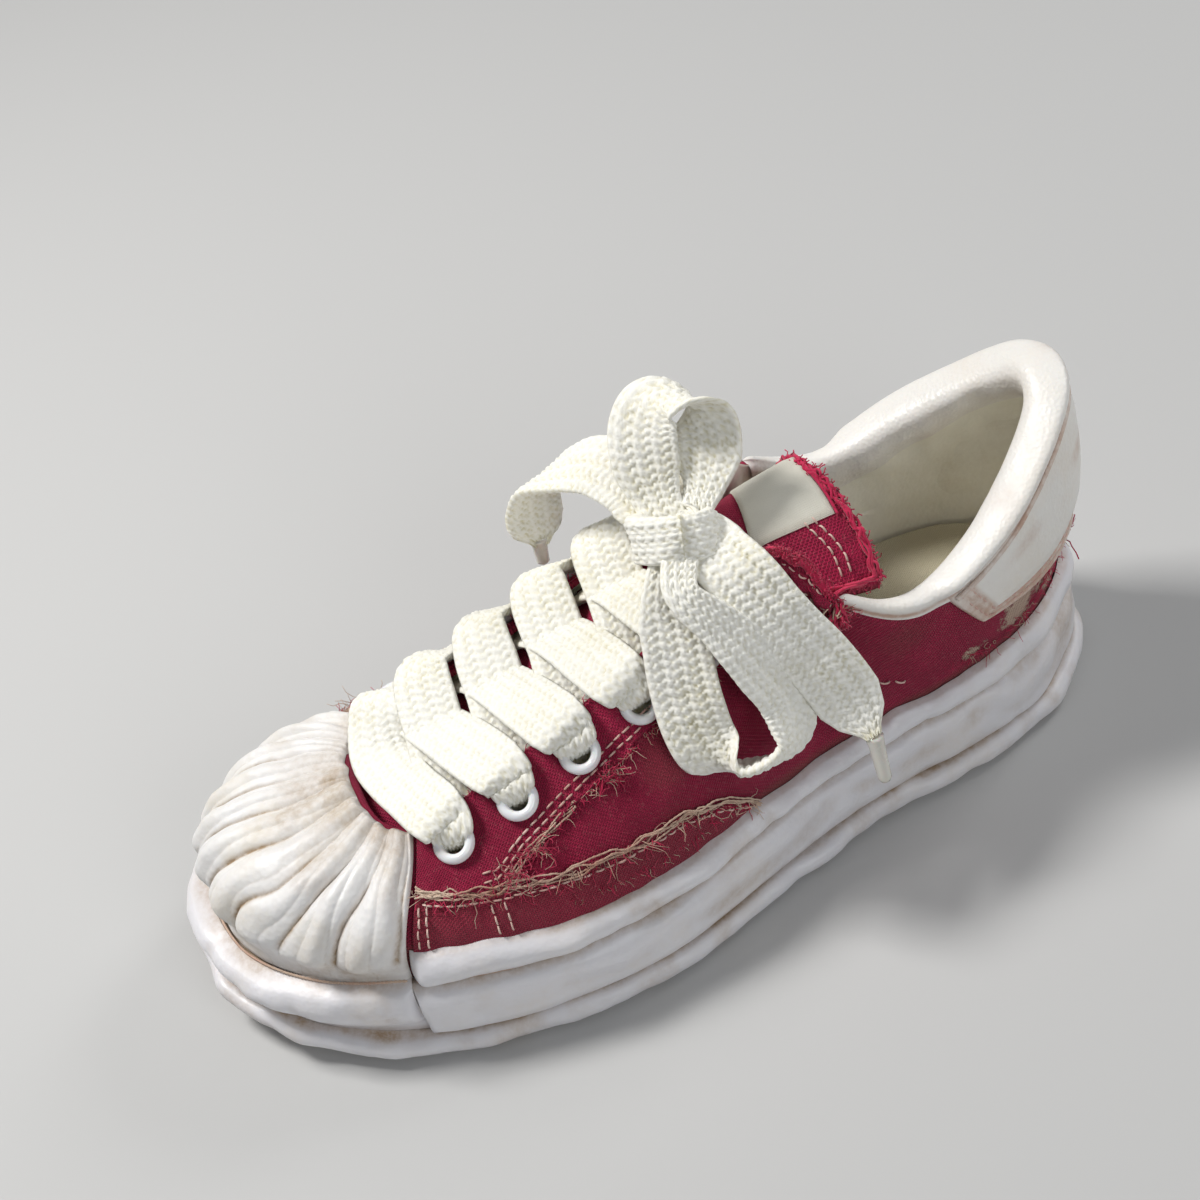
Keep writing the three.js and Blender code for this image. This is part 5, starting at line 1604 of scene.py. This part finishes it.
def makeCollar():
    columns, deepest = collarShape["columns"], collarShape["depth"]
    u = np.linspace(collarShape["first"], collarShape["last"], columns)
    toEnd = np.minimum(u - collarShape["first"], collarShape["last"] - u)
    pad = collarShape["thin"] + collarShape["pad"] * smooth(toEnd, 0, 2.2)
    one = np.ones(columns)
    edge, edgeNormal = lastPoint(u, one), lastNormal(u, one)
    rising = unit(edge - lastPoint(u, 0.98 * one))
    shrink = np.sqrt(smooth(toEnd, -0.01, 0.16)) * (0.45 + 0.55 * smooth(toEnd, 0, 1.3))
    behind = smooth(u, 9.1, 9.4) * (1 - smooth(u, 13.6, 13.9))
    full = np.linalg.norm(lastPoint(u, 0.03 * one) - edge, axis=-1)
    keys = []
    for out, above, swell in collarShape["section"]:
        if above < 0:
            distance = np.minimum(-above, full * (-above / deepest if above < -26 else 1))
            t = tFromEdge(u, np.minimum(distance, full))
            plump = out + (1.6 * behind if out > 0 else 0) + swell * pad * shrink
            keys.append(lastPoint(u, t) + lastNormal(u, t) * plump[:, None])
        else:
            plump = (out + (2.4 * behind if out > 0 else 0) + swell * pad) * shrink
            keys.append(edge + edgeNormal * plump[:, None] + rising * (above * shrink)[:, None])
    keys = np.stack(keys)
    rows = collarShape["rows"]
    k = np.linspace(0, len(keys) - 1, rows)
    points = spline(keys.reshape(len(keys), -1), k).reshape(rows, columns, 3).transpose(1, 0, 2)
    soft = 0.45 * wobble(points, 22, 91, 2) + 0.2 * wobble(points, 8, 92)
    folds = (
        collarShape["folds"] * wobble(points * (1, 1, 0.3), 10, 94, 2) * smooth(k, 4.5, 6.5)
        * (1 - smooth(k, 10, 12))
    )
    ring = unit(np.cross(np.gradient(points, axis=0), np.gradient(points, axis=1)))
    points = points + ring * ((soft + folds) * smooth(k, 1, 3))[..., None]
    seam = np.exp(-((k - 0.9) / 0.45)**2)
    dirtAndShade = 1.2 * seam + 0.12 * smooth(k, 7, 13) + 0.2 * smooth(wobble(points, 18, 93, 2), 0.1, 0.8)
    faces = gridQuads(columns, rows)
    inside = faces[:, 0] % rows > 36
    pieceMesh(
        "collar_roll", points.reshape(-1, 3), faces, whiteLeather, ["collar_pad"],
        masks={"dirtAndShade": dirtAndShade.reshape(-1)}, second=(lining, inside),
    )


tongueShape = {
    "rows": 120, "columns": 84, "thickness": 3.2, "long": 146, "halfWide": 27,
    "label": {"low": 0.815, "high": 0.985, "right": 0.50, "left": -0.62, "skew": 0.03}, "pile": 900,
    "sidePile": 420, "yarns": 7,
}


def tongueSurface(v, s, lift):
    p = tonguePoint(v, s, lift)
    top = smooth(v, 0.8, 1.0)
    p[..., 1] += top * (1.5 + 6.5 * smooth(s, -0.3, 1.0))
    p[..., 0] += top * 2.5 * smooth(s, 0.3, 1.0)
    p[..., 2] += top * (-1.5 * smooth(s, 0.2, 1.0)) + 0.4 * wobble(p, 18, 95, 2)
    return p


def makeTongue():
    v = np.linspace(-0.14, 1, tongueShape["rows"])[:, None]
    s = np.linspace(1, -1, tongueShape["columns"])[None, :]
    ragged = 0.012 * wobble(vec(s * 12, 0, 0), 1, 96, 2) * smooth(v, 0.9, 1)
    top = tongueSurface(v + ragged, s, 0.0)
    low = tongueSurface(v + ragged, s, -tongueShape["thickness"])
    points, quads = shell(top, low)
    length, width = np.broadcast_arrays(v * tongueShape["long"], s * tongueShape["halfWide"])
    cloth = np.stack([width, length], -1).reshape(-1, 2)
    worn = 0.42 * smooth(v, 0.985, 1) + 0.35 * smooth(np.abs(s), 0.97, 1) + 0.12 * wobble(top, 7, 97, 2)
    worn = worn.reshape(-1)
    masks = {"worn": np.concatenate([worn, worn]), "dirtAndShade": np.zeros(2 * worn.size)}
    both = np.concatenate([cloth, cloth])
    pieceMesh("tongue_cloth", points, quads, canvas, ["tongue"], both, masks)


def makeLabel():  # blank, woven
    label = tongueShape["label"]
    v = np.linspace(label["low"], label["high"], 40)[:, None]
    s = np.linspace(label["right"], label["left"], 50)[None, :]
    long, wide = tongueShape["long"], tongueShape["halfWide"]
    toEnd = np.minimum(v - label["low"], label["high"] - v) * long
    edge = np.minimum(toEnd, np.minimum(label["right"] - s, s - label["left"]) * wide)
    lift = 0.35 + 0.55 * np.sqrt(smooth(edge, -0.05, 0.5))
    points = tongueSurface(v - label["skew"] * s, s, lift)
    length, width = np.broadcast_arrays(v * long, s * wide)
    hem = 0.6 * smooth(-edge, -1.6, -1.2)
    cloth = np.stack([width, length], -1).reshape(-1, 2)
    masks = {"worn": 0 * hem.reshape(-1), "dirtAndShade": (0.3 * hem + 0.1).reshape(-1)}
    quads = gridQuads(*points.shape[:2])
    pieceMesh("blank_label", points.reshape(-1, 3), quads, labelCloth, cloth=cloth,
        masks=masks)
    line = np.linspace(-0.64, 0.52, 60)
    border = [tongueSurface(label["high"] + 0.004 - label["skew"] * line, line, 0.8)]
    points, faces = tubes(border, np.full((1, 60), 0.45), 6)
    pieceMesh("label_edge", points, faces, redThread, masks={"dirtAndShade": np.zeros(len(points))})


def makeTongueStitches():
    rows = []
    for inset, seed in ((0.050, 611), (0.068, 612)):
        s = np.linspace(0.43, 0.97, 130)
        across = tongueSurface(1 - inset - 0.022 * smooth(-s, -0.8, -0.42), s, 0.35)
        rows.append(stitchRow(across, np.broadcast_to(np.array([0.25, 0, 1.0]), across.shape), 0.06, seed))
    stitchPiece("tongue_stitches", rows, 6, lambda points: np.full(len(points), 0.2))


def makeTongueEdge():
    # the raw edge: matted yarns rolled along the top and down the lateral side, with a short pile
    run = np.linspace(0, 1, 260)
    v = np.where(run < 0.7, 0.992, 0.992 - (run - 0.7) * 1.15)
    s = np.where(run < 0.7, -0.97 + 2.8 * run, 0.99)
    edge = tongueSurface(v, s, 0.5)
    rolled = []
    for k in range(tongueShape["yarns"]):
        sway = np.stack([wobble(vec(run * 30, k * 5, axis), 1, 630 + axis, 2) for axis in range(3)], -1)
        rolled.append(edge + (0.35, 0.35, 0.1) + 1.15 * sway)
    rng = np.random.default_rng(620)
    count = tongueShape["pile"]
    s = rng.uniform(-1, 1, count)
    roots = tongueSurface(0.985 + 0.02 * rng.random(count), s, 0.6 - 3 * rng.random(count))
    leads = np.broadcast_to(np.array([0.15, 0.8, 0.4]), roots.shape)
    paths = strands(roots, leads, 0.9 + 3.2 * rng.random(count)**5, 0.9, 621, 3)
    count = tongueShape["sidePile"]
    s = rng.uniform(0.93, 1.02, count)
    roots = tongueSurface(rng.uniform(0.62, 1.0, count), s, 0.4 - 2.5 * rng.random(count))
    leads = np.broadcast_to(np.array([0.9, 0.4, 0.3]), roots.shape)
    sides = strands(roots, leads, 0.9 + 3.0 * rng.random(count)**5, 0.9, 622, 3)
    piles = [tubes(p, np.full(p.shape[:2], 0.2), 3) for p in (paths, sides)]
    points, faces = joined(piles + [tubes(rolled, np.full((len(rolled), len(run)), 0.42), 5)])
    pieceMesh("tongue_fringe", points, faces, redThread,
        masks={"dirtAndShade": 0.2 + 0.3 * wobble(points, 5, 98)})


footbedShape = {"columns": 360, "thickness": 4.1, "round": 0.7, "inset": 0.5, "heelRise": 5.5}


def heelRise(y):  # the footbed thickens under the heel
    return footbedShape["heelRise"] * smooth(y, 5, 60)


def makeFootbed():
    n = footbedShape["columns"]
    u = np.arange(n) * stationCount / n
    inset = around(u, 9) + size["wall"] + footbedShape["inset"]
    thick, bevel = footbedShape["thickness"], footbedShape["round"]
    plan = planPoint(u, inset)
    deck, rise = deckZ(plan[..., 1]), heelRise(plan[..., 1])
    rings = [flat3(plan, deck), flat3(plan, deck + thick - bevel + rise),
        flat3(planPoint(u, inset + bevel), deck + thick + rise)]
    walls = np.stack(rings, 1)

    def bed(x, y):
        return deckZ(y) + thick - 0.2 + heelRise(y) + 0.15 * np.sin(x / 9)

    wall = (walls.reshape(-1, 3), gridQuads(n, 3, True))
    top = rungCap(walls[:, 2], 40, bed, False)
    low = rungCap(walls[:, 0], 6, lambda x, y: deckZ(y), True)
    points, faces = joined([wall, top, low])
    dirtAndShade = 0.25 + 0.35 * smooth(wobble(points, 25, 99, 2), 0.0, 0.7)
    masks = {"worn": 0 * dirtAndShade, "dirtAndShade": dirtAndShade}
    pieceMesh("footbed_cloth", points, faces, footCloth, ["insole"], points[:, :2], masks)


eyeletShape = {  # the ring's section: distance from its axis, height above the canvas
    "profile": [(3.0, -2.6), (3.0, -0.6), (3.05, 0.9), (3.5, 1.9), (4.4, 2.25), (5.3, 1.9), (5.85, 1.1),
        (5.8, 0.3), (5.0, -0.1), (3.7, -0.2)],
    "sides": 44, "points": 28, "lift": 0.9,
}


def makeEyelets():
    sides, count = eyeletShape["sides"], eyeletShape["points"]
    profile = spline(eyeletShape["profile"], np.linspace(0, 9, count))
    angle = np.arange(sides) * turn / sides
    parts = []
    for side, seat in seats.items():
        for at, axis in zip(seat["at"], seat["axis"]):
            across = unit(np.cross(axis, (0, 1, 0)))
            other = np.cross(axis, across)
            radial = across * np.cos(angle)[:, None] + other * np.sin(angle)[:, None]
            grid = at + radial[:, None] * profile[:, :1] + axis * (profile[:, 1:] + eyeletShape["lift"])
            parts.append((grid.reshape(-1, 3), gridQuads(sides, count, True)))
    points, faces = joined(parts)
    names = [f"eyelet_{side}_{row + 1}" for side in ("lateral", "medial")
        for row in range(eyeletRow["count"])]
    pieceMesh("eyelet_rings", points, faces, eyeletPlastic, names,
        masks={"dirtAndShade": 0.15 * smooth(wobble(points, 4, 77), 0.1, 0.7)})


makeHeelPatch()
makeWelt()
makeCollar()
makeTongue()
makeLabel()
makeTongueStitches()
makeTongueEdge()
makeFootbed()
makeEyelets()
print("heel, collar, tongue, footbed and eyelets made")

# floor


def makeFloor():
    half = floorLook["half"]
    mesh = bpy.data.meshes.new("floor")
    mesh.from_pydata([(-half, -half, 0), (half, -half, 0), (half, half, 0), (-half, half, 0)], [],
        [(0, 1, 2, 3)])
    material, _, shader = newMaterial("paleFloor")
    shader.inputs["Base Color"].default_value = (*floorLook["colour"], 1)
    shader.inputs["Roughness"].default_value = floorLook["roughness"]
    mesh.materials.append(material)
    floor = bpy.data.objects.new("floor", mesh)
    bpy.context.collection.objects.link(floor)
    floor.location.z = -0.0002


makeFloor()
bpy.context.view_layer.update()
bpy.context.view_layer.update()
triangles = sum(len(face.vertices) - 2 for mesh in bpy.data.meshes for face in mesh.polygons)
print("size written;", triangles, "triangles")
